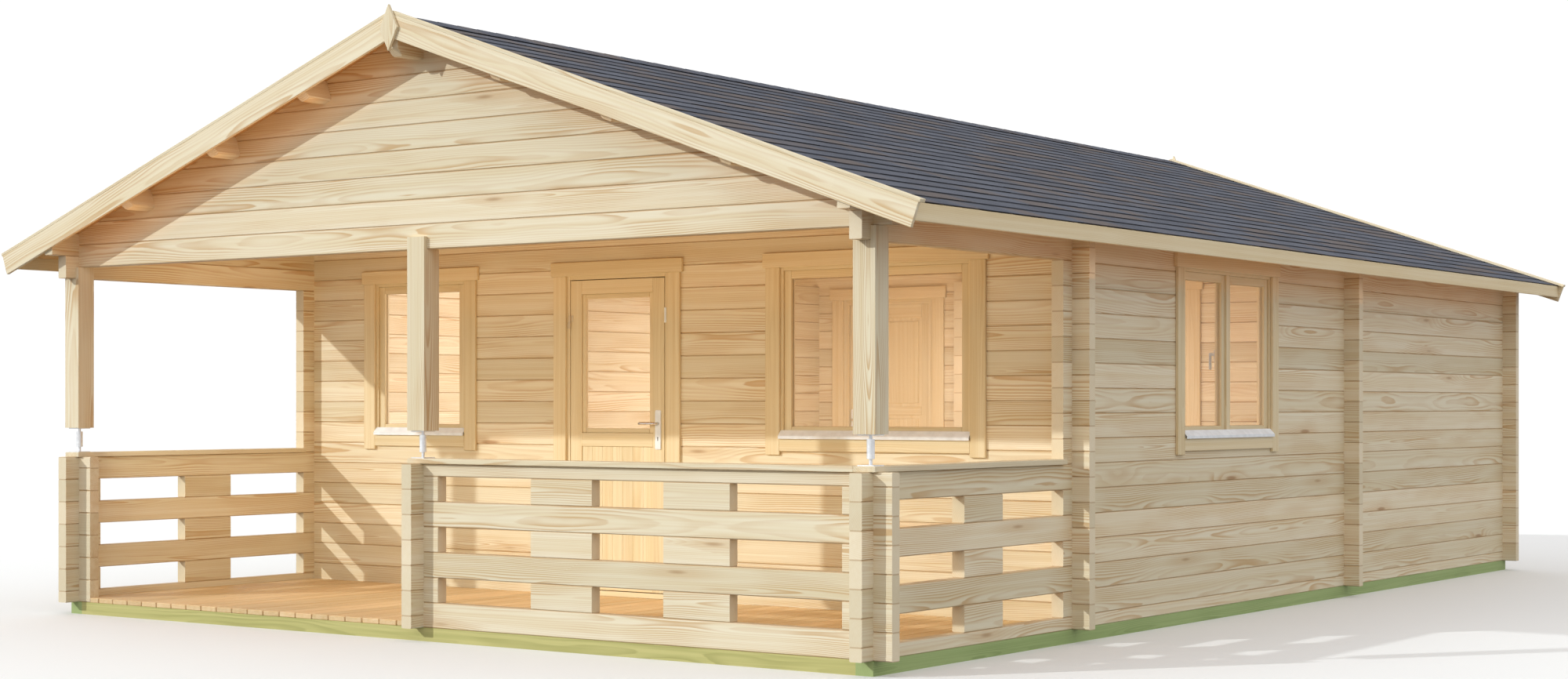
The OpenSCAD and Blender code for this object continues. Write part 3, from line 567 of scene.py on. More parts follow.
@dataclass(frozen=True)
class Sheet:
    """Metal or coating of one colour, with a faint cloud in colour and gloss."""

    name: str
    colour: Colour
    metal: float
    gloss: Span
    cloud: float = 18.0
    shade: float = 0.9

    def make(self) -> Finish:
        """Build the finish.

        Returns:
            The new material.
        """
        material, net, shader = new_finish(self.name)
        wave = net.noise(net.place(), self.cloud, 4.0).outputs["Fac"]
        darker = tuple(part * self.shade for part in self.colour)
        net.fill(shader, {"Base Color": net.mix(net.ramp(wave, 0.35, 0.65), darker, self.colour),
                          "Roughness": net.ramp(wave, 0.3, 0.7, *self.gloss), "Metallic": self.metal})
        return material


@dataclass(frozen=True)
class Glass:
    """Clear pane: it lets light straight through and mirrors a little."""

    tint: Colour = (0.92, 0.95, 0.94)
    cover: float = 0.07
    gloss: Span = (0.02, 0.05)
    cloud: float = 1.6

    def make(self) -> Finish:
        """Build the finish.

        Returns:
            The new material.
        """
        material, net, shader = new_finish("clear glass")
        wave = net.noise(net.place(), self.cloud, 1.0).outputs["Fac"]
        net.fill(shader, {"Roughness": net.ramp(wave, 0.3, 0.7, *self.gloss), "Base Color": (*self.tint, 1.0),
                          "Alpha": self.cover})
        return material


WHITE_METAL = Sheet("white coated metal", (0.93, 0.96, 0.99), 0.0, (0.42, 0.5))
ZINC_STEEL = Sheet("zinc plated steel", (0.86, 0.87, 0.89), 0.45, (0.3, 0.42), 60.0)
SATIN_STEEL = Sheet("satin steel", (0.82, 0.82, 0.81), 1.0, (0.18, 0.3), 90.0)
# Near-black finish of the keyholes: painted shade standing for the hollow of the hole.
KEYHOLE_SHADE = Sheet("painted keyhole shade", (0.035, 0.034, 0.032), 0.0, (0.6, 0.75), 40.0)
BROWN_SEAL = Sheet("brown seal", (0.52, 0.38, 0.22), 0.0, (0.6, 0.75), 40.0)
BRONZED_STEEL = Sheet("bronzed steel", (0.74, 0.60, 0.40), 0.2, (0.35, 0.45), 60.0)
GREY_METAL = Sheet("grey coated metal", (0.60, 0.60, 0.60), 0.3, (0.35, 0.45), 40.0)


def link(name: str, mesh: bpy.types.Mesh) -> bpy.types.Object:
    """Put a mesh in the scene as an object at the origin.

    Args:
        name: name of the object.
        mesh: its mesh.

    Returns:
        The new object.
    """
    item = bpy.data.objects.new(name, mesh)
    bpy.context.scene.collection.objects.link(item)
    return item


def settle(item: bpy.types.Object, body: str = CABIN,
           stands_for: Sequence[str] = ()) -> bpy.types.Object:
    """Tie a finished piece to its body and the nodes that it stands for.

    Args:
        item: the piece.
        body: body that it moves with.
        stands_for: nodes of the frame that it replaces.

    Returns:
        The same piece.
    """
    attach(item, body)
    if stands_for:
        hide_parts(*stands_for)
    log.info("%s on %s: %d faces", item.name, body, len(item.data.polygons))
    return item


def dress(frame: dict, material: Finish, *names: str) -> None:
    """Give nodes of the frame a finish.

    Args:
        frame: the loaded frame.
        material: the finish.
        names: names of the nodes.
    """
    for name in names:
        item = frame["nodes"][name]
        for place in item.material_slots:
            place.material = material
        log.info("%s keeps its solid, in %s", name, material.name)


def solids(frame: dict, name: str) -> list[tuple[Vector, Vector]]:
    """Find the separate solids of a node.

    Args:
        frame: the loaded frame.
        name: name of the node.

    Returns:
        The lowest and highest corner of each solid, ordered along X, then Y.
    """
    work = bmesh.new()
    work.from_mesh(frame["nodes"][name].data)
    bmesh.ops.remove_doubles(work, verts=work.verts[:], dist=WELD)
    left = set(work.verts)
    boxes = []
    while left:
        reached = [left.pop()]
        points = []
        while reached:
            vert = reached.pop()
            points.append(vert.co.copy())
            near = [edge.other_vert(vert) for edge in vert.link_edges]
            fresh = [other for other in near if other in left]
            left.difference_update(fresh)
            reached.extend(fresh)
        boxes.append((Vector(map(min, *points)), Vector(map(max, *points))))
    work.free()
    return sorted(boxes, key=lambda pair: (round(pair[0].x, 3), round(pair[0].y, 3)))


@dataclass
class Joinery:
    """Bevelled bars and boards that make one piece, each with its own run of grain."""

    name: str
    seed: int
    bevel: float = 0.0025
    segments: int = 2
    mesh: bmesh.types.BMesh = field(init=False)

    def __post_init__(self) -> None:
        """Start an empty mesh with the attributes that the timber finish reads."""
        self.mesh = bmesh.new()
        self.place = self.mesh.verts.layers.float_vector.new("wood_co")
        self.board = self.mesh.verts.layers.float.new("board")
        self.draw = random.Random(self.seed)

    def prism(self, outline: Sequence[Vector], depth: Vector, along: Vector, bevel: Optional[float] = None,
              turn: Matrix = Matrix.Identity(4)) -> None:
        """Add one stick: an outline pushed along a direction, with its edges bevelled.

        Args:
            outline: corners of one face.
            depth: way and length of the push.
            along: way that the fibres run.
            bevel: width of the bevel, if not the piece's own.
            turn: place of the stick in the frame.
        """
        old = set(self.mesh.verts)
        low = [self.mesh.verts.new(point) for point in outline]
        high = [self.mesh.verts.new(point + depth) for point in outline]
        faces = [self.mesh.faces.new(low), self.mesh.faces.new(high[::-1])]
        count = len(low)
        faces += [self.mesh.faces.new((low[i], low[(i + 1) % count], high[(i + 1) % count], high[i]))
                  for i in range(count)]
        bmesh.ops.recalc_face_normals(self.mesh, faces=faces)
        width = self.bevel if bevel is None else bevel
        if width:
            edges = list({edge for face in faces for edge in face.edges})
            bmesh.ops.bevel(self.mesh, geom=edges, offset=width, segments=self.segments, affect="EDGES",
                            profile=BEVEL_PROFILE, clamp_overlap=True)
        fibre = along.normalized()
        side = depth.normalized()
        if abs(fibre.dot(side)) > 0.9:
            side = (outline[1] - outline[0]).normalized()
        up = fibre.cross(side)
        middle = sum(outline, Vector()) / count + depth / 2
        tone = self.draw.random()
        for vert in self.mesh.verts:
            if vert not in old:
                away = vert.co - middle
                vert[self.place] = Vector((away.dot(fibre), away.dot(side), away.dot(up)))
                vert[self.board] = tone
                vert.co = turn @ vert.co

    def bar(self, low: Sequence[float], high: Sequence[float], axis: int, bevel: Optional[float] = None,
            turn: Matrix = Matrix.Identity(4)) -> None:
        """Add a straight bar between two corners, with its fibres along an axis.

        Args:
            low: lowest corner.
            high: highest corner.
            axis: 0, 1 or 2 for the way of the fibres.
            bevel: width of the bevel, if not the piece's own.
            turn: place of the bar in the frame.
        """
        (x0, y0, z0), (x1, y1, z1) = low, high
        outline = [Vector((x, y0, z)) for x, z in ((x0, z0), (x1, z0), (x1, z1), (x0, z1))]
        along = (RIGHT, BACK, UP)[axis]
        self.prism(outline, Vector((0, y1 - y0, 0)), along, bevel, turn)

    def to_mesh(self) -> bpy.types.Mesh:
        """Close the work.

        Returns:
            Its mesh.
        """
        made = bpy.data.meshes.new(self.name)
        self.mesh.to_mesh(made)
        self.mesh.free()
        return made

    def to_piece(self, material: Finish) -> bpy.types.Object:
        """Close the work and put it in the scene.

        Args:
            material: its one finish.

        Returns:
            The new object.
        """
        made = self.to_mesh()
        made.materials.append(material)
        return link(self.name, made)


class Grower(Net):
    """A Geometry Nodes tree with named inputs, which repeats a shape and ends in one plain mesh."""

    def __init__(self, name: str) -> None:
        """Start a tree that takes a shape and hands one over.

        Args:
            name: name of the tree.
        """
        super().__init__(bpy.data.node_groups.new(name, "GeometryNodeTree"))
        for way in ("INPUT", "OUTPUT"):
            self.tree.interface.new_socket(name="Geometry", in_out=way, socket_type="NodeSocketGeometry")
        self.entry = self.add("NodeGroupInput")
        self.way_out = self.add("NodeGroupOutput")

    def input(self, name: str, kind: str = "Float") -> Socket:
        """Add a named input and give its socket inside the tree."""
        self.tree.interface.new_socket(name=name, in_out="INPUT", socket_type=f"NodeSocket{kind}")
        return self.entry.outputs[name]

    def scatter(self, points: Socket, shape: Socket, seed: Socket) -> Socket:
        """Put a copy of a shape on every point, each with a chance number of its own.

        Args:
            points: where the copies go.
            shape: what is copied.
            seed: seed of the chance numbers.

        Returns:
            The copies.
        """
        copies = self.fill(self.add("GeometryNodeInstanceOnPoints"), {"Points": points, "Instance": shape})
        chance = self.fill(self.add("FunctionNodeRandomValue", data_type="FLOAT"), {"Seed": seed})
        store = self.add("GeometryNodeStoreNamedAttribute", data_type="FLOAT", domain="INSTANCE")
        self.fill(store, {"Name": "copy", "Geometry": copies.outputs["Instances"],
                          "Value": chance.outputs[1]})
        return store.outputs["Geometry"]

    def nudge(self, copies: Socket, reach: Socket, seed: Socket) -> Socket:
        """Shift every copy by chance.

        Args:
            copies: what is shifted.
            reach: longest shift on each axis.
            seed: seed of the chance numbers.

        Returns:
            The shifted copies.
        """
        back = self.fill(self.add("ShaderNodeVectorMath", operation="SCALE"), {0: reach, "Scale": -1.0})
        chance = self.add("FunctionNodeRandomValue", data_type="FLOAT_VECTOR")
        self.fill(chance, {"Min": back.outputs["Vector"], "Max": reach, "Seed": self.math("ADD", seed, 1)})
        move = self.add("GeometryNodeTranslateInstances")
        self.fill(move, {"Instances": copies, "Translation": chance.outputs["Value"]})
        return move.outputs["Instances"]

    def close(self, copies: Socket) -> Grower:
        """End the tree: make the copies real and give them the finish.

        Args:
            copies: what the tree has made.

        Returns:
            The same tree.
        """
        real = self.fill(self.add("GeometryNodeRealizeInstances"), {"Geometry": copies})
        paint = self.add("GeometryNodeSetMaterial")
        self.fill(paint, {"Geometry": real.outputs["Geometry"], "Material": self.input("Finish", "Material")})
        self.feed(self.way_out.inputs["Geometry"], paint.outputs["Geometry"])
        return self

    def grow(self, shape: bpy.types.Mesh, **values: Value) -> bpy.types.Mesh:
        """Run the tree on a shape.

        Args:
            shape: mesh that the tree repeats or that holds its points.
            values: the tree's inputs by name, with _ for a space.

        Returns:
            One plain mesh of all the copies.
        """
        carrier = link(f"{self.tree.name} carrier", shape)
        modifier = carrier.modifiers.new(self.tree.name, "NODES")
        modifier.node_group = self.tree
        for item in self.tree.interface.items_tree:
            name = item.name.replace(" ", "_")
            if item.in_out == "INPUT" and name in values:
                modifier[item.identifier] = values[name]
        graph = bpy.context.evaluated_depsgraph_get()
        made = bpy.data.meshes.new_from_object(carrier.evaluated_get(graph), preserve_all_data_layers=True,
                                               depsgraph=graph)
        bpy.data.objects.remove(carrier)
        return made


def row_grower() -> Grower:
    """Make a tree that repeats a shape in a straight row.

    Returns:
        The tree, with the inputs Seed, Count, Step, Play and Finish.
    """
    tree = Grower("row of copies")
    seed = tree.input("Seed", "Int")
    line = tree.add("GeometryNodeMeshLine")
    tree.fill(line, {"Count": tree.input("Count", "Int"), "Offset": tree.input("Step", "Vector")})
    copies = tree.scatter(line.outputs["Mesh"], tree.entry.outputs["Geometry"], seed)
    return tree.close(tree.nudge(copies, tree.input("Play", "Vector"), seed))


def course_grower() -> Grower:
    """Make a tree that lays a shape in courses, every second one shifted by half a step.

    Returns:
        The tree, with the inputs Seed, Width, Exposure, Across, Courses, Play and Finish.
    """
    tree = Grower("laid courses")
    seed = tree.input("Seed", "Int")
    width = tree.input("Width")
    exposure = tree.input("Exposure")
    across = tree.input("Across", "Int")
    courses = tree.input("Courses", "Int")
    run = tree.math("MULTIPLY", width, tree.math("SUBTRACT", across, 1))
    rise = tree.math("MULTIPLY", exposure, tree.math("SUBTRACT", courses, 1))
    grid = tree.add("GeometryNodeMeshGrid")
    tree.fill(grid, {"Size X": run, "Size Y": rise, "Vertices X": across, "Vertices Y": courses})
    up = tree.split(tree.add("GeometryNodeInputPosition").outputs[0])[1]
    height = tree.math("ADD", up, tree.scaled(rise, 0.5))
    level = tree.math("ROUND", tree.math("DIVIDE", height, exposure))
    odd = tree.math("FLOORED_MODULO", level, 2.0)
    shift = tree.math("MULTIPLY", tree.scaled(odd, 0.5, -0.25), width)
    lay = tree.add("GeometryNodeSetPosition")
    offset = tree.vector(shift, tree.scaled(rise, 0.5), 0.0)
    tree.fill(lay, {"Geometry": grid.outputs["Mesh"], "Offset": offset})
    copies = tree.scatter(lay.outputs["Geometry"], tree.entry.outputs["Geometry"], seed)
    return tree.close(tree.nudge(copies, tree.input("Play", "Vector"), seed))


def screw_grower(sides: int = 10, foot: float = 0.5, depth: float = 0.6, sink: float = -0.52) -> Grower:
    """Make a tree that drives a countersunk screw at every point, its head turned up.

    Args:
        sides: sides of the round head.
        foot: radius of the head's foot, as a share of its top.
        depth: depth of the head, as a share of the same radius.
        sink: height of the head's middle, as a share of the same radius.

    Returns:
        The tree, with the inputs Seed, Head radius, Turn and Finish.
    """
    tree = Grower("driven screws")
    seed = tree.input("Seed", "Int")
    radius = tree.input("Head radius")
    head = tree.add("GeometryNodeMeshCone")
    tree.fill(head, {"Vertices": sides, "Radius Top": radius, "Radius Bottom": tree.scaled(radius, foot),
                     "Depth": tree.scaled(radius, depth)})
    sunk = tree.add("GeometryNodeTransform")
    tree.fill(sunk, {"Geometry": head.outputs["Mesh"],
                     "Translation": tree.vector(0.0, 0.0, tree.scaled(radius, sink))})
    turned = tree.add("GeometryNodeTransform")
    tree.fill(turned, {"Geometry": sunk.outputs["Geometry"], "Rotation": tree.input("Turn", "Vector")})
    return tree.close(tree.scatter(tree.entry.outputs["Geometry"], turned.outputs["Geometry"], seed))


def thread_grower(steps: int = 14, sides: int = 4, ridge: float = 0.45) -> Grower:
    """Make a tree that winds a screw thread at every point.

    Args:
        steps: straight steps in one turn.
        sides: sides of the ridge's section.
        ridge: radius of the ridge, as a share of the thread's pitch.

    Returns:
        The tree, with the inputs Seed, Radius, Length, Pitch and Finish.
    """
    tree = Grower("screw thread")
    seed = tree.input("Seed", "Int")
    radius = tree.input("Radius")
    length = tree.input("Length")
    pitch = tree.input("Pitch")
    coil = tree.add("GeometryNodeCurveSpiral")
    tree.fill(coil, {"Resolution": steps, "Rotations": tree.math("DIVIDE", length, pitch),
                     "Start Radius": radius, "End Radius": radius, "Height": length})
    section = tree.add("GeometryNodeCurvePrimitiveCircle")
    tree.fill(section, {"Resolution": sides, "Radius": tree.scaled(pitch, ridge)})
    wire = tree.add("GeometryNodeCurveToMesh")
    tree.fill(wire, {"Fill Caps": True, "Curve": coil.outputs["Curve"],
                     "Profile Curve": section.outputs["Curve"]})
    return tree.close(tree.scatter(tree.entry.outputs["Geometry"], wire.outputs["Mesh"], seed))


def points_mesh(name: str, points: Sequence[Vector]) -> bpy.types.Mesh:
    """Make a mesh of loose points.

    Args:
        name: name of the mesh.
        points: where they lie.

    Returns:
        The mesh.
    """
    mesh = bpy.data.meshes.new(name)
    mesh.from_pydata([tuple(point) for point in points], [], [])
    return mesh


def joined(name: str, meshes: Sequence[bpy.types.Mesh]) -> bpy.types.Mesh:
    """Join meshes that share a finish.

    Args:
        name: name of the new mesh.
        meshes: what is joined, the first of them with its finish.

    Returns:
        One mesh of them all.
    """
    work = bmesh.new()
    for mesh in meshes:
        work.from_mesh(mesh)
    for face in work.faces:
        face.material_index = 0
    made = bpy.data.meshes.new(name)
    work.to_mesh(made)
    work.free()
    made.materials.append(next(material for material in meshes[0].materials if material))
    return made


def trimmed(mesh: bpy.types.Mesh, cuts: Sequence[tuple[Vector, Vector]]) -> None:
    """Cut a mesh off at planes and close what is cut.

    Args:
        mesh: mesh to cut.
        cuts: a point on each plane, and the way to what goes.
    """
    work = bmesh.new()
    work.from_mesh(mesh)
    for point, away in cuts:
        cut = bmesh.ops.bisect_plane(work, geom=work.verts[:] + work.edges[:] + work.faces[:], dist=WELD,
                                     plane_co=point, plane_no=away, clear_outer=True)
        edges = [item for item in cut["geom_cut"] if isinstance(item, bmesh.types.BMEdge)]
        bmesh.ops.holes_fill(work, edges=edges, sides=0)
    bmesh.ops.recalc_face_normals(work, faces=work.faces[:])
    work.to_mesh(mesh)
    work.free()


@dataclass
class LogWork:
    """Walls, railings, beams and posts: the frame's own notched logs, in pine."""

    frame: dict
    front_mid: float = 4.626
    cabin_mid: float = -2.606
    partition_mid: float = 1.319
    side_mid: float = 2.766
    left_room_mid: float = -1.276

    def dress(self) -> None:
        """Give every log its finish."""
        cross, long = Grain.CROSS_LOGS, Grain.LONG_LOGS
        lies = {
            GrainSpace(cross, self.front_mid): ("terrace_gable", "front_railing", "rear_wall", "rear_gable"),
            GrainSpace(cross, self.cabin_mid): ("front_wall_left", "front_wall_right", "front_wall_gable"),
            GrainSpace(cross, self.partition_mid): ("partition_wall", "partition_gable"),
            GrainSpace(long, self.side_mid): ("left_wall", "right_wall", "side_railings", "terrace_beams",
                                              "wall_plates"),
            GrainSpace(long, self.left_room_mid): ("left_room_wall",),
            GrainSpace(long): ("rear_room_wall",),
            GrainSpace(Grain.NEWELS): ("entry_newels",),
            GrainSpace(Grain.PURLINS): ("purlins",),
            GrainSpace(Grain.POSTS): ("terrace_posts",),
        }
        for space, names in lies.items():
            dress(self.frame, PINE.make(space), *names)
        dress(self.frame, GREEN_TIMBER.make(GrainSpace(Grain.SIDE_SILLS)), "side_sills")
        dress(self.frame, OLIVE_TIMBER.make(GrainSpace(Grain.CROSS_SILLS)), "cross_sills", "floor_joists")


@dataclass
class Floors:
    """Terrace deck and room floors of single boards, with the deck's screws."""

    frame: dict
    rows: Grower
    screws: Grower
    pine: Finish
    zinc: Finish
    deck_board: float = 0.120
    deck_gap: float = 0.006
    deck_play: float = 0.001
    side_play: float = 0.002
    least_trim: float = 0.010
    floor_board: float = 0.114
    floor_gap: float = 0.0015
    edge: float = 0.003
    screw_radius: float = 0.0042
    screw_inset: float = 0.024
    screw_ends: Span = (0.045, 0.050)

    def build(self) -> None:
        """Lay the deck and the floors."""
        self._deck()
        self._rooms()

    def _row(self, low: Vector, high: Vector, pitch: float, gap: float, seed: int,
             play: float = 0.0) -> bpy.types.Mesh:
        """Lay boards that run back, side by side from the low corner.

        Args:
            low: lowest corner of the floor.
            high: highest corner of the floor.
            pitch: step from board to board.
            gap: gap between two boards.
            seed: seed of the boards' chance numbers.
            play: how far a board may lie off its place lengthwise.

        Returns:
            One mesh of as many boards as fit the width whole.
        """
        count = int((high.x - low.x + gap) / pitch + HAIR)
        board = Joinery("board", seed, self.edge, 1)
        board.bar((0, 0, 0), (pitch - gap, high.y - low.y, high.z - low.z), 1)
        made = self.rows.grow(board.to_mesh(), Seed=seed, Count=count, Step=(pitch, 0.0, 0.0),
                              Play=(0.0, play, play / 3), Finish=self.pine)
        made.transform(Matrix.Translation(low))
        return made

    def _deck(self) -> None:
        """Lay the terrace: boards start at the entry's newel and run to both sides."""
        low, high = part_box("terrace_deck")
        pitch = self.deck_board + self.deck_gap
        newel = LOG_T / 2
        behind = low.y + LOG_T
        left = low.x + LOG_END
        count = int((-newel - left) / pitch)
        start = -newel - count * pitch
        halves = ((Vector((start, low.y, low.z)), Vector((-newel, high.y, high.z))),
                  (Vector((newel, behind, low.z)), high))
        rows = [self._row(*corners, pitch, self.deck_gap, seed, self.deck_play)
                for seed, corners in enumerate(halves, 3)]
        right_count = int((high.x - newel + self.deck_gap) / pitch + HAIR)
        right = newel + right_count * pitch
        rest = Joinery("deck trims", 5, self.edge, 1)
        rest.bar((left, low.y, low.z), (start - self.deck_gap, high.y, high.z), 1)
        rest.bar((low.x + self.side_play, behind, low.z), (left - self.deck_gap, high.y, high.z), 1)
        rest.bar((-newel, behind + LOG_END, low.z), (newel - self.deck_gap, high.y, high.z), 1)
        if high.x - right > self.least_trim:
            rest.bar((right, behind, low.z), (high.x - self.side_play, high.y, high.z), 1)
        trims = rest.to_mesh()
        trims.materials.append(self.pine)
        deck = link("deck_boards", joined("deck_boards", [*rows, trims]))
        settle(deck, stands_for=["terrace_deck"])
        self._deck_screws(((start, low.y, count), (newel, behind, right_count)), high)

    def _deck_screws(self, halves: Sequence[tuple[float, float, int]], high: Vector) -> None:
        """Drive two screws through every deck board at its ends and over each joist.

        Args:
            halves: left edge, front end and number of boards of each half of the deck.
            high: highest corner of the deck.
        """
        pitch = self.deck_board + self.deck_gap
        beams = [(a.y + b.y) / 2 for a, b in solids(self.frame, "floor_joists") if b.y < high.y]
        insets = (self.screw_inset, self.deck_board - self.screw_inset)
        points = []
        for first, begin, number in halves:
            lines = (begin + self.screw_ends[0], *beams, high.y - self.screw_ends[1])
            for board, y, x in product(range(number), lines, insets):
                points.append(Vector((first + board * pitch + x, y, high.z)))
        heads = self.screws.grow(points_mesh("deck screw points", points), Seed=1, Finish=self.zinc,
                                 Head_radius=self.screw_radius, Turn=STILL)
        settle(link("deck_screws", heads))

    def _rooms(self) -> None:
        """Lay the floor of every room."""
        made = []
        for seed, (low, high) in enumerate(solids(self.frame, "room_floors"), 20):
            width = high.x - low.x
            pitch = width / round(width / self.floor_board)
            made.append(self._row(low, high, pitch, self.floor_gap, seed))
        settle(link("room_floor_boards", joined("room_floor_boards", made)),
               stands_for=["room_floors"])


@dataclass
class Roof:
    """Boarding, shingles, ridge pieces, bargeboards, finials and fascias."""

    frame: dict
    rows: Grower
    courses: Grower
    boarding: Finish
    trim: Finish
    edging: Finish
    shingle: Finish
    board_t: float = 0.019
    board_w: float = 0.0965
    exposure: float = 0.145
    tab_w: float = 0.333
    tab_gap: float = 0.006
    tab_t: float = 0.004
    tab_lap: float = 0.020
    tab_play: float = 0.0015
    cap_step: float = 0.165
    cap_t: float = 0.003
    cap_lap: float = 0.012
    cap_under: float = 0.0012
    cap_seat: float = 0.001
    board_joint: float = 0.0008
    trim_edge: float = 0.003
    barge_w: float = 0.137
    barge_t: float = 0.020
    strip_h: float = 0.0177
    strip_in: float = 0.026
    strip_out: float = 0.012
    finial_half: Span = (0.062, 0.124)

    def build(self) -> None:
        """Cover both slopes and trim their edges."""
        for name, turn in (("right", Matrix.Identity(4)), ("left", Matrix.Rotation(math.pi, 4, "Z"))):
            self._boards(name, turn)
            self._tabs(name, turn)
        self._ridge()
        self._barges()
        self._finials()
        self._fascias()

    @staticmethod
    def _slope(corner: Vector, turn: Matrix) -> Matrix:
        """Find the frame of a slope.

        Args:
            corner: corner of the right slope on its eave.
            turn: turn that lays the right slope on this one.

        Returns:
            Axes from the corner: X along the ridge, Y up the slope, Z off the roof.
        """
        up = Vector((-ROOF_COS, 0, ROOF_SIN))
        lie = Matrix((BACK, up, BACK.cross(up))).transposed().to_4x4()
        return turn @ Matrix.Translation(corner) @ lie

    def _boards(self, side: str, turn: Matrix) -> None:
        """Lay tongue and groove boards from eave to ridge.

        Args:
            side: name of the slope.
            turn: turn that lays the right slope on this one.
        """
        low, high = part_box("right_roof_boards")
        skew = self.board_t * ROOF_FALL
        reach = (high.x - low.x) / ROOF_COS
        count = round((high.y - low.y) / self.board_w)
        pitch = (high.y - low.y) / count
        board = Joinery("roof board", 31, 0.0022, 1)
        board.bar((0, skew, 0), (pitch - self.board_joint, reach - skew, self.board_t), 1)
        made = self.rows.grow(board.to_mesh(), Seed=41 if side == "right" else 42, Count=count,
                              Step=(pitch, 0.0, 0.0), Play=STILL, Finish=self.boarding)
        made.transform(self._slope(Vector((high.x, low.y, low.z)), turn))
        settle(link(f"{side}_roof_planks", made), stands_for=[f"{side}_roof_boards"])

    def _tabs(self, side: str, turn: Matrix) -> None:
        """Lay the shingle tabs of one slope, cut off at the verges and the ridge.

        Args:
            side: name of the slope.
            turn: turn that lays the right slope on this one.
        """
        low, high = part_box("right_shingles")
        tilt = math.asin(self.tab_t / self.exposure)
        tab = Joinery("shingle tab", 51, 0.0012, 1)
        half = (self.tab_w - self.tab_gap) / 2
        tab.bar((-half, 0, 0), (half, self.exposure + self.tab_lap, self.tab_t), 0,
                turn=Matrix.Translation((0, 0, self.tab_t)) @ Matrix.Rotation(-tilt, 4, "X"))
        across = math.ceil((high.y - low.y) / self.tab_w) + 1
        reach = (high.x - low.x) / ROOF_COS
        count = math.ceil(reach / self.exposure)
        made = self.courses.grow(tab.to_mesh(), Seed=61 if side == "right" else 62, Width=self.tab_w,
                                 Exposure=self.exposure, Across=across, Courses=count,
                                 Play=(0.0, self.tab_play, 0.0), Finish=self.shingle)
        trimmed(made, [(Vector((high.y, 0, 0)), RIGHT), (Vector((low.y, 0, 0)), -RIGHT),
                       (Vector((0, reach, 0)), BACK)])
        rise = made.attributes.new("course", "FLOAT", "POINT")
        rise.data.foreach_set("value", [vert.co.y / self.exposure for vert in made.vertices])
        made.transform(self._slope(Vector((high.x, 0, low.z)), turn))
        settle(link(f"{side}_shingle_tabs", made), stands_for=[f"{side}_shingles"])

    def _ridge(self) -> None:
        """Lay folded pieces along the ridge, each lapping the one before."""
        low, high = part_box("ridge_cap")
        run = high.y - low.y
        count = round(run / self.cap_step)
        step = run / count
        thick = self.cap_t / ROOF_COS
        half = high.x
        top = high.z - low.z - self.cap_under
        edge = top - ROOF_FALL * half
        under = top - thick - ROOF_FALL * half
        outline = [Vector((x, 0, z)) for x, z in (
            (-half, under), (0, top - thick), (half, under), (half, edge), (0, top), (-half, edge))]
        piece = Joinery("ridge piece", 71, 0.0008, 1)
        piece.prism(outline, Vector((0, step + self.cap_lap, 0)), BACK,
                    turn=Matrix.Rotation(-math.atan(thick * 0.5 / step), 4, "X"))
        made = self.rows.grow(piece.to_mesh(), Seed=72, Count=count, Step=(0.0, step, 0.0), Play=STILL,
                              Finish=self.shingle)
        made.transform(Matrix.Translation((0, low.y, low.z + self.cap_seat)))
        trimmed(made, [(Vector((0, high.y, 0)), BACK), (Vector((0, low.y, 0)), -BACK)])
        settle(link("ridge_pieces", made), stands_for=["ridge_cap"])

    def _barges(self) -> None:
        """Make the bargeboards, each a board with a strip along its top."""
        low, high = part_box("right_bargeboards")
        strip = self.strip_h / ROOF_COS
        boards = ((high.z - strip, self.barge_w - self.strip_h, high.x - self.strip_out, self.barge_t),
                  (high.z, self.strip_h, high.x, self.barge_t + self.strip_in))
        for side, name in ((1, "right"), (-1, "left")):
            work = Joinery(f"{name}_barge", 81 + side, self.trim_edge)
            for top, width, end, deep in boards:
                foot = top - width / ROOF_COS
                inner = end - width * ROOF_SIN
                outline = ((0.0, foot), (inner, foot - ROOF_FALL * inner), (end, top - ROOF_FALL * end),
                           (0.0, top))
                for y in (low.y, high.y - deep):
                    face = [Vector((side * x, y, z)) for x, z in outline]
                    work.prism(face, Vector((0, deep, 0)), Vector((side, 0, -ROOF_FALL)))
            settle(work.to_piece(self.trim), stands_for=[f"{name}_bargeboards"])

    def _finials(self) -> None:
        """Cut the finials, boards on their point at both ends of the ridge."""
        work = Joinery("finial_boards", 85, self.trim_edge)
        half_w, half_h = self.finial_half
        for low, high in solids(self.frame, "finials"):
            middle = (low.z + high.z) / 2
            face = [Vector((x, low.y, middle + z))
                    for x, z in ((-half_w, 0), (0, -half_h), (half_w, 0), (0, half_h))]
            work.prism(face, Vector((0, high.y - low.y, 0)), UP)
        settle(work.to_piece(self.trim), stands_for=["finials"])

    def _fascias(self) -> None:
        """Make the fascias along both eaves, their tops slanted with the roof."""
        work = Joinery("eave_boards", 87, self.trim_edge)
        for low, high in solids(self.frame, "eave_fascias"):
            outer, near = (high.x, low.x) if high.x > 0 else (low.x, high.x)
            slant = ROOF_FALL * (high.x - low.x)
            face = [Vector((x, low.y, z)) for x, z in (
                (near, low.z), (outer, low.z), (outer, high.z - slant), (near, high.z))]
            work.prism(face, Vector((0, high.y - low.y, 0)), BACK)
        settle(work.to_piece(self.edging), stands_for=["eave_fascias"])


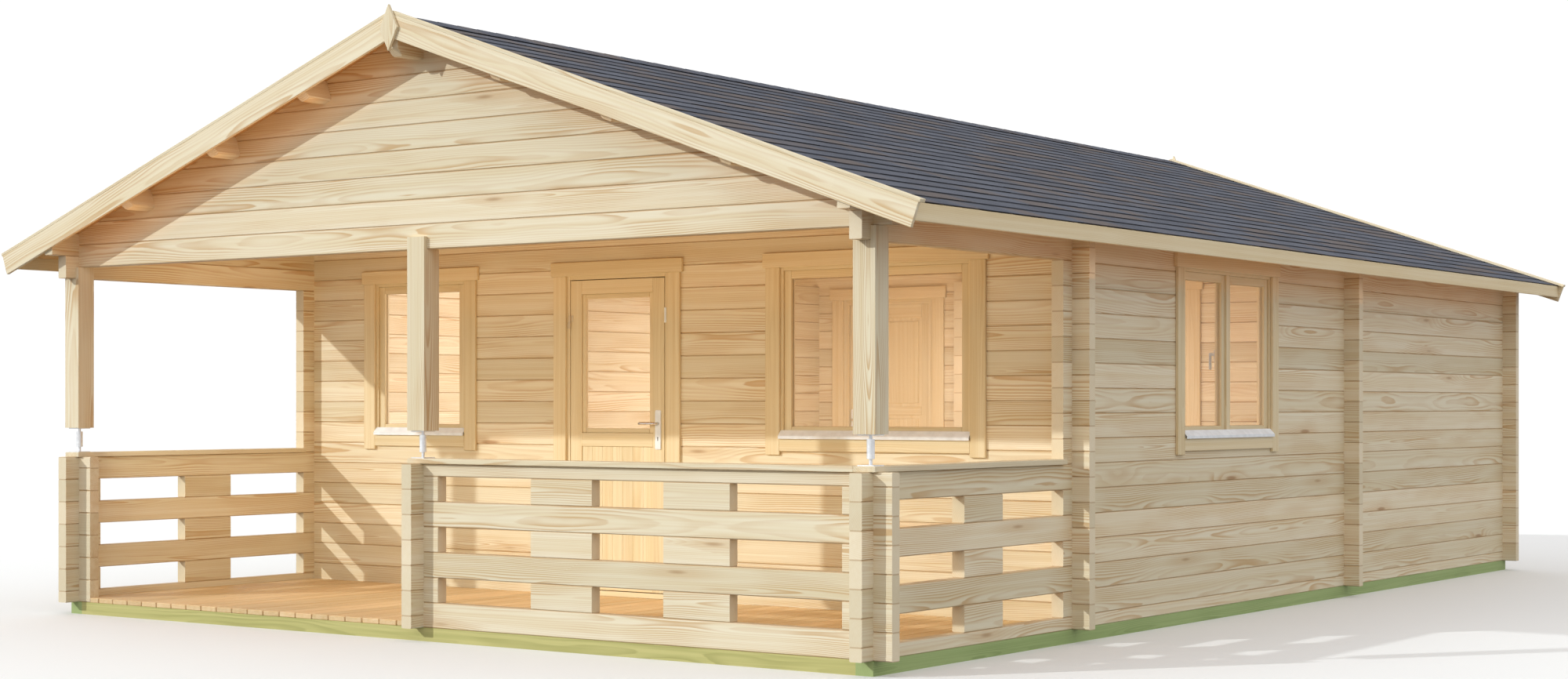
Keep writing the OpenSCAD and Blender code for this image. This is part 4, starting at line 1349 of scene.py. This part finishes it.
@dataclass
class Terrace:
    """Handrail boards, and the threads and plate screws of the post adjusters."""

    frame: dict
    threads: Grower
    screws: Grower
    pine: Finish
    zinc: Finish
    thread_r: float = 0.0074
    thread_pitch: float = 0.003
    plate_t: float = 0.005
    screw_show: float = 0.028
    hole_out: float = 0.032
    head_radius: float = 0.0055

    def build(self) -> None:
        """Make the handrails and dress the adjusters."""
        rails = Joinery("handrail_boards", 91, 0.004)
        for name in ("front_handrail", "side_handrails"):
            for low, high in solids(self.frame, name):
                rails.bar(low, high, 0 if name == "front_handrail" else 1)
        settle(rails.to_piece(self.pine), stands_for=["front_handrail", "side_handrails"])
        dress(self.frame, self.zinc, "post_screws")
        feet, holes = [], []
        for low, high in solids(self.frame, "post_screws"):
            middle = (low + high) / 2
            foot = Vector((middle.x, middle.y, low.z + self.plate_t))
            feet.append(foot)
            for x, y in product((-self.hole_out, self.hole_out), repeat=2):
                holes.append(foot + Vector((x, y, 0)))
        wound = self.threads.grow(points_mesh("thread points", feet), Seed=1, Radius=self.thread_r,
                                  Length=self.screw_show, Pitch=self.thread_pitch, Finish=self.zinc)
        settle(link("adjuster_threads", wound))
        heads = self.screws.grow(points_mesh("plate screw points", holes), Seed=2, Finish=self.zinc,
                                 Head_radius=self.head_radius, Turn=STILL)
        settle(link("plate_screws", heads))


@dataclass(frozen=True)
class CasingSizes:
    """Boards round an opening, as the frame has them."""

    width: float = 0.095
    inner_width: float = 0.070
    thick: float = 0.018
    head_h: float = 0.084
    head_t: float = 0.022
    head_out: float = 0.018
    lap: float = 0.017
    apron_h: float = 0.077
    drop: float = 0.022


def casing(work: Joinery, size: CasingSizes, span: Span, foot: float, top: float,
           turn: Matrix, inside: bool = False, apron: Optional[float] = None) -> None:
    """Nail casing boards round an opening.

    Args:
        work: piece that takes the boards.
        size: sizes of the boards.
        span: left and right edge of the opening along the wall.
        foot: height of the side boards' feet.
        top: height of the opening's top.
        turn: place of the wall's outer face, or of its inner face.
        inside: boards of the room side.
        apron: height of the opening's lower edge, where a board runs under it.
    """
    width = size.inner_width if inside else size.width
    left = span[0] + size.lap - width
    right = span[1] - size.lap + width
    head = top - size.lap
    way = 1 if inside else -1

    def board(x0: float, x1: float, z0: float, z1: float, thick: float, axis: int) -> None:
        """One board on the wall's face."""
        y0, y1 = sorted((0.0, way * thick))
        work.bar((x0, y0, z0), (x1, y1, z1), axis, turn=turn)

    for x in (left, right - width):
        board(x, x + width, foot, head, size.thick, 2)
    board(left - size.head_out, right + size.head_out, head, head + size.head_h, size.head_t, 0)
    if apron is not None:
        board(left + width, right - width, apron - size.apron_h + size.lap, apron + size.lap, size.thick, 0)


def wall_place(low: Vector, high: Vector) -> Matrix:
    """Find the wall that holds a frame.

    Args:
        low: lowest corner of the frame.
        high: highest corner of the frame.

    Returns:
        Axes from the wall's outer face: X along it, Y into the building.
    """
    if high.x - low.x < high.y - low.y:
        return Matrix.Translation((high.x, 0, 0)) @ Matrix.Rotation(math.pi / 2, 4, "Z")
    return Matrix.Translation((0, low.y, 0))


def in_wall(place: Matrix, low: Vector, high: Vector) -> tuple[Vector, Vector]:
    """Turn a box into a wall's own axes.

    Args:
        place: place of the wall.
        low: lowest corner of the box.
        high: highest corner of the box.

    Returns:
        The lowest and highest corner in the wall's axes.
    """
    back = place.inverted()
    first, second = back @ low, back @ high
    return Vector(map(min, first, second)), Vector(map(max, first, second))


# Bars of a sash handle, from its axis on the sash's room face: low corner, high corner, fibres, bevel
SASH_HANDLE = (
    ((-0.012, 0.000, -0.028), (0.012, 0.010, 0.028), 2, None),
    ((-0.007, 0.008, -0.008), (0.007, 0.036, 0.008), 1, None),
    ((-0.008, 0.030, -0.090), (0.008, 0.044, 0.010), 2, 0.005),
)


@dataclass
class Windows:
    """Frames, sashes, casings and handles of the three windows."""

    frame: dict
    pine: Finish
    glass: Finish
    white: Finish
    grey: Finish
    seals: Finish
    size: CasingSizes = CasingSizes()
    bar: float = 0.035
    sash_bar: float = 0.046
    seal: float = 0.003
    seal_in: float = 0.001
    seal_faces: Span = (-0.007, 0.003)

    def build(self) -> None:
        """Make the joinery of every window."""
        frames = Joinery("window_frame_bars", 101)
        sashes = Joinery("window_sash_bars", 102, 0.005, 3)
        boards = Joinery("window_casing_boards", 103, 0.004)
        seals = Joinery("window_seals", 104, 0.0)
        fittings = Joinery("window_handles", 105, 0.003, 3)
        wood = solids(self.frame, "window_sashes")
        for low, high in solids(self.frame, "window_frames"):
            place = wall_place(low, high)
            inner, outer = in_wall(place, low, high)
            mine = [in_wall(place, a, b) for a, b in wood if self._within(low, high, a, b)]
            self._ring(frames, place, inner, outer, self.bar)
            mine.sort(key=lambda pair: pair[0].x)
            for (_, before), (after, _) in zip(mine, mine[1:]):
                frames.bar((before.x, inner.y, inner.z + self.bar),
                           (after.x, outer.y, outer.z - self.bar), 2, turn=place)
            for number, (sash_low, sash_high) in enumerate(mine):
                self._ring(sashes, place, sash_low, sash_high, self.sash_bar)
                self._seal(seals, place, sash_low, sash_high)
                self._handle(fittings, place, sash_low, sash_high, 0 < number)
            span = (inner.x, outer.x)
            apron = inner.z
            foot = apron - self.size.apron_h + self.size.lap - self.size.drop
            casing(boards, self.size, span, foot, outer.z, place, apron=apron)
            room_face = place @ Matrix.Translation((0, outer.y, 0))
            casing(boards, self.size, span, apron - self.size.apron_h, outer.z, room_face, inside=True)
        settle(frames.to_piece(self.pine), stands_for=["window_frames"])
        settle(sashes.to_piece(self.pine), stands_for=["window_sashes"])
        settle(boards.to_piece(self.pine), stands_for=["window_casings"])
        settle(seals.to_piece(self.seals))
        settle(fittings.to_piece(self.grey))
        dress(self.frame, self.glass, "window_panes")
        dress(self.frame, self.white, "window_sills")

    @staticmethod
    def _within(low: Vector, high: Vector, first: Vector, last: Vector) -> bool:
        """Whether a box lies in another."""
        return all(low[i] - CLOSE <= first[i] and last[i] <= high[i] + CLOSE for i in range(3))

    @staticmethod
    def _ring(work: Joinery, place: Matrix, low: Vector, high: Vector, bar: float) -> None:
        """Set four bars round a box: uprights run through, rails sit between them.

        Args:
            work: piece that takes the bars.
            place: place of the wall.
            low: lowest corner, in the wall's axes.
            high: highest corner, in the wall's axes.
            bar: width of the bars.
        """
        for x in (low.x, high.x - bar):
            work.bar((x, low.y, low.z), (x + bar, high.y, high.z), 2, turn=place)
        for z in (low.z, high.z - bar):
            work.bar((low.x + bar, low.y, z), (high.x - bar, high.y, z + bar), 0, turn=place)

    def _seal(self, work: Joinery, place: Matrix, low: Vector, high: Vector) -> None:
        """Draw a thin brown line where the pane meets its sash, on both faces.

        Args:
            work: piece that takes the bars.
            place: place of the wall.
            low: lowest corner, in the wall's axes.
            high: highest corner, in the wall's axes.
        """
        edge = self.sash_bar - self.seal_in
        for face in self.seal_faces:
            y = (low.y + high.y) / 2 + face
            inner = Vector((low.x + edge, y, low.z + edge))
            outer = Vector((high.x - edge, y + self.seal, high.z - edge))
            self._ring(work, place, inner, outer, self.seal)

    def _handle(self, work: Joinery, place: Matrix, low: Vector, high: Vector, at_left: bool) -> None:
        """Fit a turning handle on the room side: a plate, a neck and a lever that hangs down.

        Args:
            work: piece that takes the bars.
            place: place of the wall.
            low: lowest corner, in the wall's axes.
            high: highest corner, in the wall's axes.
            at_left: whether it sits on the left upright.
        """
        x = low.x + self.sash_bar / 2 if at_left else high.x - self.sash_bar / 2
        axis = Vector((x, high.y, (low.z + high.z) / 2))
        for first, last, fibres, bevel in SASH_HANDLE:
            work.bar(axis + Vector(first), axis + Vector(last), fibres, bevel, place)


@dataclass(frozen=True)
class LeafSizes:
    """Bars and panels of the door leaves, as the frame has them."""

    stile: float = 0.085
    bead: float = 0.028
    lock_z: float = 0.870
    lock_h: float = 0.082
    foot_h: float = 0.150
    sunk: float = 0.007
    board: float = 0.078
    rail: float = 0.062
    middle_h: float = 0.115
    border: float = 0.026
    bead_edge: float = 0.006
    board_edge: float = 0.0035
    field_in: float = 0.0005
    handle_z: float = 1.010


@dataclass
class Handle:
    """Lever handles on both faces of a leaf: plates with keyholes, necks and bent levers."""

    plate_w: float = 0.042
    plate_h: float = 0.235
    plate_t: float = 0.008
    below: float = 0.66
    lever_r: float = 0.009
    lever_l: float = 0.128
    reach: float = 0.048
    sides: int = 14
    bend: float = 0.016
    tip_l: float = 0.020
    tip_share: float = 0.78
    corner_r: float = 0.008
    key_z: float = -0.085
    key_r: float = 0.0045
    key_slot: float = 0.0022
    key_drop: float = 0.018
    key_depths: Span = (-0.001, 0.0004)

    def mesh(self, name: str, thick: float, turn: Matrix, plate: Finish, lever: Finish,
             dark: Finish) -> bpy.types.Mesh:
        """Make the pair for one leaf.

        Args:
            name: name of the mesh.
            thick: thickness of the leaf.
            turn: place of the spindle on the leaf's hinge face.
            plate: finish of the plates.
            lever: finish of the levers.
            dark: finish of the keyholes, painted shade where the hole is.

        Returns:
            One mesh in the three finishes.
        """
        work = bmesh.new()
        for face, way in ((0.0, -1.0), (thick, 1.0)):
            self._plate(work, face, way)
            self._keyhole(work, face + way * self.plate_t, way)
            bend = self.bend
            path = [Vector((0, face + way * self.plate_t * 0.5, 0)),
                    Vector((0, face + way * (self.reach - self.lever_r - bend), 0))]
            corner = Vector((-bend, face + way * (self.reach - self.lever_r - bend), 0))
            for step in range(1, 6):
                angle = math.pi / 2 * step / 5
                path.append(corner + Vector((bend * math.cos(angle), way * bend * math.sin(angle), 0)))
            tip = self.lever_r - self.lever_l
            path.append(Vector((tip + self.tip_l, path[-1].y, 0)))
            path.append(Vector((tip, path[-1].y, 0)))
            self._tube(work, path)
        bmesh.ops.recalc_face_normals(work, faces=work.faces[:])
        bmesh.ops.transform(work, matrix=turn, verts=work.verts[:])
        made = bpy.data.meshes.new(name)
        work.to_mesh(made)
        work.free()
        for material in (plate, lever, dark):
            made.materials.append(material)
        return made

    def _plate(self, work: bmesh.types.BMesh, face: float, way: float) -> None:
        """Add a plate with round corners and softened edges.

        Args:
            work: mesh to add to.
            face: place of the face that it sits on.
            way: 1 or -1, the way off that face.
        """
        half = self.plate_w / 2
        low, high = -self.plate_h * self.below, self.plate_h * (1 - self.below)
        radius = self.corner_r
        middle = Vector((0, 0, (low + high) / 2))
        ring = []
        for x, z, start in ((half, high, 0), (-half, high, 1), (-half, low, 2), (half, low, 3)):
            centre = Vector((x - math.copysign(radius, x), 0, z - math.copysign(radius, z - middle.z)))
            for step in range(5):
                angle = math.pi / 2 * (start + step / 4)
                ring.append(centre + Vector((radius * math.cos(angle), 0, radius * math.sin(angle))))
        layers = []
        for depth, share in ((0.0, 1.0), (0.7, 1.0), (1.0, 0.94)):
            off = Vector((0, face + way * self.plate_t * depth, 0))
            layers.append([work.verts.new(middle + (point - middle) * share + off) for point in ring])
        self._skin(work, layers, 0)

    def _keyhole(self, work: bmesh.types.BMesh, face: float, way: float) -> None:
        """Add a keyhole of painted shade: a dark round hole over a slot, just proud of the plate.

        Args:
            work: mesh to add to.
            face: place of the face that it sits on.
            way: 1 or -1, the way off that face.
        """
        angles = [math.radians(-60 + 300 * step / 12) for step in range(13)]
        ring = [Vector((self.key_r * math.cos(a), 0, self.key_z + self.key_r * math.sin(a))) for a in angles]
        ring += [Vector((x, 0, self.key_z - self.key_drop)) for x in (-self.key_slot, self.key_slot)]
        layers = [[work.verts.new(point + Vector((0, face + way * depth, 0))) for point in ring]
                  for depth in self.key_depths]
        self._skin(work, layers, 2)

    def _tube(self, work: bmesh.types.BMesh, path: Sequence[Vector]) -> None:
        """Add a round bar along a path in a level plane, with a narrower tip.

        Args:
            work: mesh to add to.
            path: middle line of the bar.
        """
        layers = []
        up = Vector((0, 0, 1))
        for index, point in enumerate(path):
            before = path[max(index - 1, 0)]
            after = path[min(index + 1, len(path) - 1)]
            side = (after - before).normalized().cross(up)
            radius = self.lever_r * (self.tip_share if index == len(path) - 1 else 1.0)
            layers.append([work.verts.new(point + side * (radius * math.cos(a)) + up * (radius * math.sin(a)))
                           for a in (2 * math.pi * step / self.sides for step in range(self.sides))])
        self._skin(work, layers, 1)

    @staticmethod
    def _skin(work: bmesh.types.BMesh, layers: Sequence[Sequence[bmesh.types.BMVert]], index: int) -> None:
        """Close a stack of rings with faces of one finish.

        Args:
            work: mesh to add to.
            layers: the rings, from the first end to the last.
            index: number of the finish.
        """
        faces = [work.faces.new(layers[0][::-1]), work.faces.new(layers[-1])]
        for lower, upper in zip(layers, layers[1:]):
            count = len(lower)
            faces += [work.faces.new((lower[i], lower[(i + 1) % count], upper[(i + 1) % count], upper[i]))
                      for i in range(count)]
        for face in faces:
            face.material_index = index
            face.smooth = index == 1


@dataclass
class Doors:
    """The glazed front door, the two inner doors, their frames and casings."""

    frame: dict
    pine: Finish
    glass: Finish
    white: Finish
    steel: Finish
    keyhole_shade: Finish
    bronze: Finish
    leaf: LeafSizes = LeafSizes()
    size: CasingSizes = CasingSizes()
    handle: Handle = field(default_factory=Handle)
    gap: float = 0.005
    jamb: float = 0.040
    stop_lap: float = 0.012
    deck_z: float = 0.100
    floor_z: float = 0.098
    keep_z: float = 1.79
    keep_size: Span = (0.013, 0.090)
    keep_faces: Span = (-0.006, 0.004)
    keep_lap: float = 0.001
    stop_size: Span = (0.030, 0.014)

    def build(self) -> None:
        """Make every leaf, and the frames and casings round them."""
        self._front_leaf()
        for number, name in enumerate(("left_inner", "right_inner")):
            self._inner_leaf(name, 120 + number)
        self._frames()
        hinges = [f"{name}_hinges" for name in ("front_door", "left_inner", "right_inner")]
        dress(self.frame, self.bronze, "hinge_pins", *hinges)
        dress(self.frame, self.glass, "front_door_pane")

    def _leaf_place(self, node: str, turned: bool) -> tuple[Matrix, Vector]:
        """Find a leaf in the frame.

        Args:
            node: the frame's node of the leaf.
            turned: whether it faces the back, as the inner doors do.

        Returns:
            Axes from its hinge edge and foot, and its width, thickness and height.
        """
        low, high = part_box(node)
        if turned:
            place = Matrix.Translation((high.x, high.y, low.z)) @ Matrix.Rotation(math.pi, 4, "Z")
        else:
            place = Matrix.Translation(low)
        return place, high - low

    def _handles(self, name: str, body: str, place: Matrix, extent: Vector) -> None:
        """Fit the lever handles of a leaf.

        Args:
            name: name of the door.
            body: body of the leaf.
            place: place of the leaf.
            extent: width, thickness and height of the leaf.
        """
        spot = place @ Matrix.Translation((extent.x - self.leaf.stile / 2, 0, self.leaf.handle_z))
        mesh = self.handle.mesh(f"{name}_levers", extent.y, spot, self.white, self.steel, self.keyhole_shade)
        settle(link(mesh.name, mesh), body, [f"{name}_handle"])

    def _front_leaf(self) -> None:
        """Glazed leaf: stiles, rails, beads round the pane and upright boards below; its stop and keep."""
        place, extent = self._leaf_place("front_door_leaf", False)
        width, thick, height = extent
        part = self.leaf
        work = Joinery("front_door_joinery", 111)
        inner = (part.stile, width - part.stile)
        for x in (0.0, inner[1]):
            work.bar((x, 0, 0), (x + part.stile, thick, height), 2, turn=place)
        lock_top = part.lock_z + part.lock_h
        for low, high in ((0.0, part.foot_h), (part.lock_z, lock_top), (height - part.stile, height)):
            work.bar((inner[0], 0, low), (inner[1], thick, high), 0, turn=place)
        deep = (part.sunk, thick - part.sunk)
        glass_top = height - part.stile
        for x in (inner[0], inner[1] - part.bead):
            work.bar((x, deep[0], lock_top), (x + part.bead, deep[1], glass_top), 2, part.bead_edge, place)
        for z in (lock_top, glass_top - part.bead):
            work.bar((inner[0] + part.bead, deep[0], z), (inner[1] - part.bead, deep[1], z + part.bead), 0,
                     part.bead_edge, place)
        count = round((inner[1] - inner[0]) / part.board)
        step = (inner[1] - inner[0]) / count
        for index in range(count):
            x = inner[0] + index * step
            work.bar((x, deep[0], part.foot_h), (x + step, deep[1], part.lock_z), 2, part.board_edge, place)
        settle(work.to_piece(self.pine), "front_door", ["front_door_leaf"])
        self._handles("front_door", "front_door", place, extent)
        wide, tall = self.keep_size
        z = self.keep_z - place.translation.z
        edge = width + self.gap
        back, rise = self.stop_size
        stop = Joinery("front_door_stop", 112)
        stop.bar((self.stop_lap, thick + self.gap, -self.gap), (width - self.stop_lap, thick + back, rise), 0,
                 turn=place)
        settle(stop.to_piece(self.pine))
        keep = Joinery("front_door_keep", 113, 0.0008)
        near, far = self.keep_faces
        keep.bar((edge - self.keep_lap, near, z - tall / 2), (edge + wide, far, z + tall / 2), 2, turn=place)
        settle(keep.to_piece(self.white))

    def _inner_leaf(self, name: str, seed: int) -> None:
        """Make a panelled leaf: stiles and rails round three panels with raised fields.

        Args:
            name: name of the door.
            seed: seed of the bars' chance numbers.
        """
        place, extent = self._leaf_place(f"{name}_leaf", True)
        width, thick, height = extent
        part = self.leaf
        work = Joinery(f"{name}_joinery", seed)
        inner = (part.stile, width - part.stile)
        for x in (0.0, inner[1]):
            work.bar((x, 0, 0), (x + part.stile, thick, height), 2, turn=place)
        middle = part.lock_z + part.rail
        upper = middle + part.middle_h + part.rail
        panels = ((part.foot_h, part.lock_z), (middle, middle + part.middle_h),
                  (upper, height - part.stile - part.bead))
        edges = [0.0, *(z for panel in panels for z in panel), height]
        for low, high in zip(edges[::2], edges[1::2]):
            work.bar((inner[0], 0, low), (inner[1], thick, high), 0, turn=place)
        for low, high in panels:
            work.bar((inner[0], part.sunk, low), (inner[1], thick - part.sunk, high), 2, 0.0, place)
            work.bar((inner[0] + part.border, part.field_in, low + part.border),
                     (inner[1] - part.border, thick - part.field_in, high - part.border), 2,
                     part.bead_edge, place)
        body = f"{name}_door"
        settle(work.to_piece(self.pine), body, [f"{name}_leaf"])
        self._handles(name, body, place, extent)

    def _frames(self) -> None:
        """Jambs, heads, thresholds and stops, and the casings on both faces of the walls."""
        frames = Joinery("door_frame_bars", 131)
        boards = Joinery("door_casing_boards", 132, 0.004)
        for name, turned in (("front_door", False), ("left_inner", True), ("right_inner", True)):
            place, extent = self._leaf_place(f"{name}_leaf", turned)
            low, high = min(solids(self.frame, "door_frames"),
                            key=lambda pair: ((pair[0] + pair[1]) / 2 - place @ (extent / 2)).length)
            deep = high.y - low.y
            base, top = low.z - place.translation.z, high.z - place.translation.z
            reach = self.gap + self.jamb
            rebate = extent.y + self.gap
            lap = self.stop_lap
            wide, tall = extent.x + self.gap, extent.z + self.gap
            for x0, x1, stop0, stop1 in ((-reach, -self.gap, -self.gap, lap),
                                         (wide, extent.x + reach, extent.x - lap, wide)):
                frames.bar((x0, 0, base), (x1, deep, top), 2, turn=place)
                frames.bar((stop0, rebate, -self.gap), (stop1, deep, tall), 2, turn=place)
            frames.bar((-self.gap, 0, tall), (wide, deep, top), 0, turn=place)
            frames.bar((lap, rebate, extent.z - lap), (extent.x - lap, deep, tall), 0, turn=place)
            frames.bar((-self.gap, 0, base), (wide, deep, -self.gap), 0, turn=place)
            span = (low.x, high.x)
            foot = self.floor_z if turned else self.deck_z
            casing(boards, self.size, span, foot, high.z, Matrix.Translation((0, low.y, 0)))
            casing(boards, self.size, span, self.floor_z, high.z, Matrix.Translation((0, high.y, 0)),
                   inside=True)
        settle(frames.to_piece(self.pine), stands_for=["door_frames"])
        settle(boards.to_piece(self.pine), stands_for=["door_casings"])


@dataclass(frozen=True)
class Lamp:
    """A soft lamp that the camera doesn't see."""

    name: str
    place: Point
    way: Point
    size: tuple[float, float]
    power: float
    colour: Colour
    along: Point = (1.0, 0.0, 0.0)

    def hang(self) -> None:
        """Put the lamp in the scene."""
        light = bpy.data.lights.new(self.name, "AREA")
        light.shape = "RECTANGLE"
        light.size, light.size_y = self.size
        light.energy = self.power
        light.color = self.colour
        item = bpy.data.objects.new(self.name, light)
        item.location = self.place
        item.rotation_mode = "QUATERNION"
        back = -Vector(self.way).normalized()
        across = back.cross(Vector(self.along)).normalized()
        item.rotation_quaternion = Matrix((across.cross(back), across, back)).transposed().to_quaternion()
        item.visible_camera = False
        item.visible_glossy = False
        bpy.context.scene.collection.objects.link(item)


AMBER: Colour = (1.0, 0.45, 0.10)
STRAW: Colour = (1.0, 0.93, 0.66)
ROOM_WHITE: Colour = (1.0, 0.98, 0.95)
LAMPS = (
    Lamp("terrace fill", (0.0, -4.5, 1.4), (0.0, 1.0, 0.0), (5.2, 0.8), 19.0, STRAW),
    Lamp("terrace glow", (0.0, -3.6, 1.75), (0.0, 0.0, 1.0), (4.6, 1.5), 6.0, AMBER),
    Lamp("left verge", (-1.35, -4.84, 2.55), (-ROOF_FALL, 0.5, 1.0), (2.7, 0.1), 1.1, AMBER,
         (1.0, 0.0, ROOF_FALL)),
    Lamp("right verge", (1.35, -4.84, 2.55), (ROOF_FALL, 0.2, 1.0), (2.7, 0.1), 0.4, AMBER,
         (1.0, 0.0, -ROOF_FALL)),
    Lamp("right eave", (2.99, 0.0, 1.95), (-0.35, 0.0, 1.0), (9.0, 0.2), 1.6, AMBER, (0.0, 1.0, 0.0)),
    Lamp("front room", (0.6, -0.7, 2.15), (0.0, 0.0, -1.0), (2.4, 1.8), 50.0, ROOM_WHITE),
    Lamp("front room glow", (0.6, -0.7, 0.4), (0.0, 0.2, 1.0), (2.8, 2.2), 18.0, ROOM_WHITE),
    Lamp("left room", (-1.42, -0.8, 1.4), (-1.0, 0.0, 0.0), (3.2, 1.5), 34.0, ROOM_WHITE, (0.0, 1.0, 0.0)),
    Lamp("rear rooms", (0.0, 3.0, 2.15), (0.0, 0.0, -1.0), (4.6, 2.4), 50.0, ROOM_WHITE),
)


@dataclass
class Studio:
    """Pale floor, white backdrop, sun from the front left, sky, hidden lamps, and the camera."""

    floor_side: float = 160.0
    eye: Point = (8.5953, -14.3146, 1.2490)
    yaw: float = 0.6624
    focal_px: float = 3091.0
    axis_px: Span = (735.5, 517.9)
    picture: Span = (2000.0, 866.0)
    sensor: float = 36.0
    sun_way: Point = (0.68, 1.0, -0.51)
    sun_power: float = 1.78
    sun_angle: float = 1.0
    sky_power: Span = (0.2, 0.98)
    sky_edge: Span = (-0.2, 0.2)
    sun_colour: Colour = (0.94, 0.985, 0.98)
    floor_tone: float = 0.86
    dome_radius: float = 75.0

    def build(self) -> None:
        """Set the stage."""
        self._floor()
        self._backdrop()
        self._lights()
        self._camera()

    def _floor(self) -> None:
        """Lay a plain pale floor; it takes shadows, and the sky's lower half stands for its light."""
        half = self.floor_side / 2
        mesh = bpy.data.meshes.new("floor")
        corners = [(-half, -half, 0), (half, -half, 0), (half, half, 0), (-half, half, 0)]
        mesh.from_pydata(corners, [], [(0, 1, 2, 3)])
        material, _, shader = new_finish("pale floor")
        shader.inputs["Base Color"].default_value = (self.floor_tone, self.floor_tone, self.floor_tone, 1.0)
        shader.inputs["Roughness"].default_value = 0.9
        mesh.materials.append(material)
        floor = link("floor", mesh)
        floor.visible_diffuse = floor.visible_shadow = False

    def _backdrop(self) -> None:
        """Hang a white dome round the stage, which the camera sees and which lights nothing."""
        work = bmesh.new()
        bmesh.ops.create_uvsphere(work, u_segments=48, v_segments=24, radius=self.dome_radius)
        mesh = bpy.data.meshes.new("backdrop")
        work.to_mesh(mesh)
        work.free()
        material, _, shader = new_finish("white backdrop")
        shader.inputs["Base Color"].default_value = (0.0, 0.0, 0.0, 1.0)
        shader.inputs["Emission Color"].default_value = (1.0, 1.0, 1.0, 1.0)
        shader.inputs["Emission Strength"].default_value = 1.0
        mesh.materials.append(material)
        dome = link("backdrop", mesh)
        dome.visible_diffuse = dome.visible_glossy = dome.visible_transmission = dome.visible_shadow = False

    def _lights(self) -> None:
        """Hang the sun and light the sky."""
        lamp = bpy.data.lights.new("sun", "SUN")
        lamp.energy = self.sun_power
        lamp.angle = math.radians(self.sun_angle)
        lamp.color = self.sun_colour
        sun = bpy.data.objects.new("sun", lamp)
        sun.rotation_mode = "QUATERNION"
        sun.rotation_quaternion = Vector(self.sun_way).to_track_quat("-Z", "Y")
        bpy.context.scene.collection.objects.link(sun)
        for part in LAMPS:
            part.hang()
        world = bpy.data.worlds.new("sky")
        world.use_nodes = True
        net = Net(world.node_tree)
        sky = world.node_tree.nodes["Background"]
        sky.inputs["Color"].default_value = (1.0, 1.0, 1.0, 1.0)
        height = net.split(net.add("ShaderNodeTexCoord").outputs["Generated"])[2]
        net.feed(sky.inputs["Strength"], net.ramp(height, *self.sky_edge, *self.sky_power))
        bpy.context.scene.world = world
        bpy.context.scene.view_settings.view_transform = "Standard"

    def _camera(self) -> None:
        """Stand the camera level where the picture was taken from, with the picture's lens shift."""
        lens = bpy.data.cameras.new("camera")
        wide, high = self.picture
        lens.sensor_width = self.sensor
        lens.lens = self.focal_px / wide * self.sensor
        lens.shift_x = (wide / 2 - self.axis_px[0]) / wide
        lens.shift_y = (self.axis_px[1] - high / 2) / wide
        camera = bpy.data.objects.new("camera", lens)
        camera.location = self.eye
        way = Vector((-math.sin(self.yaw), math.cos(self.yaw), 0.0))
        camera.rotation_mode = "QUATERNION"
        camera.rotation_quaternion = way.to_track_quat("-Z", "Y")
        bpy.context.scene.collection.objects.link(camera)
        bpy.context.scene.camera = camera


def main() -> None:
    """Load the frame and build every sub-assembly."""
    logging.basicConfig(level=logging.INFO, format="%(message)s")
    for item in list(bpy.data.objects):
        bpy.data.objects.remove(item)
    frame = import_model()
    Studio().build()
    boards = GrainSpace(Grain.BOARDS)
    pine, joinery = PINE.make(boards), JOINERY_PINE.make(boards)
    boarding, decking = SHADED_ROOF_PINE.make(boards), DECK_PINE.make(boards)
    glass, white = Glass().make(), WHITE_METAL.make()
    zinc, steel, keyhole_shade = ZINC_STEEL.make(), SATIN_STEEL.make(), KEYHOLE_SHADE.make()
    rows, screws = row_grower(), screw_grower()
    LogWork(frame).dress()
    Floors(frame, rows, screws, decking, zinc).build()
    Roof(frame, rows, course_grower(), boarding, pine, joinery, Shingles().make()).build()
    Terrace(frame, thread_grower(), screws, pine, zinc).build()
    Windows(frame, joinery, glass, white, GREY_METAL.make(), BROWN_SEAL.make()).build()
    Doors(frame, joinery, glass, white, steel, keyhole_shade, BRONZED_STEEL.make()).build()


if __name__ == "__main__":
    main()
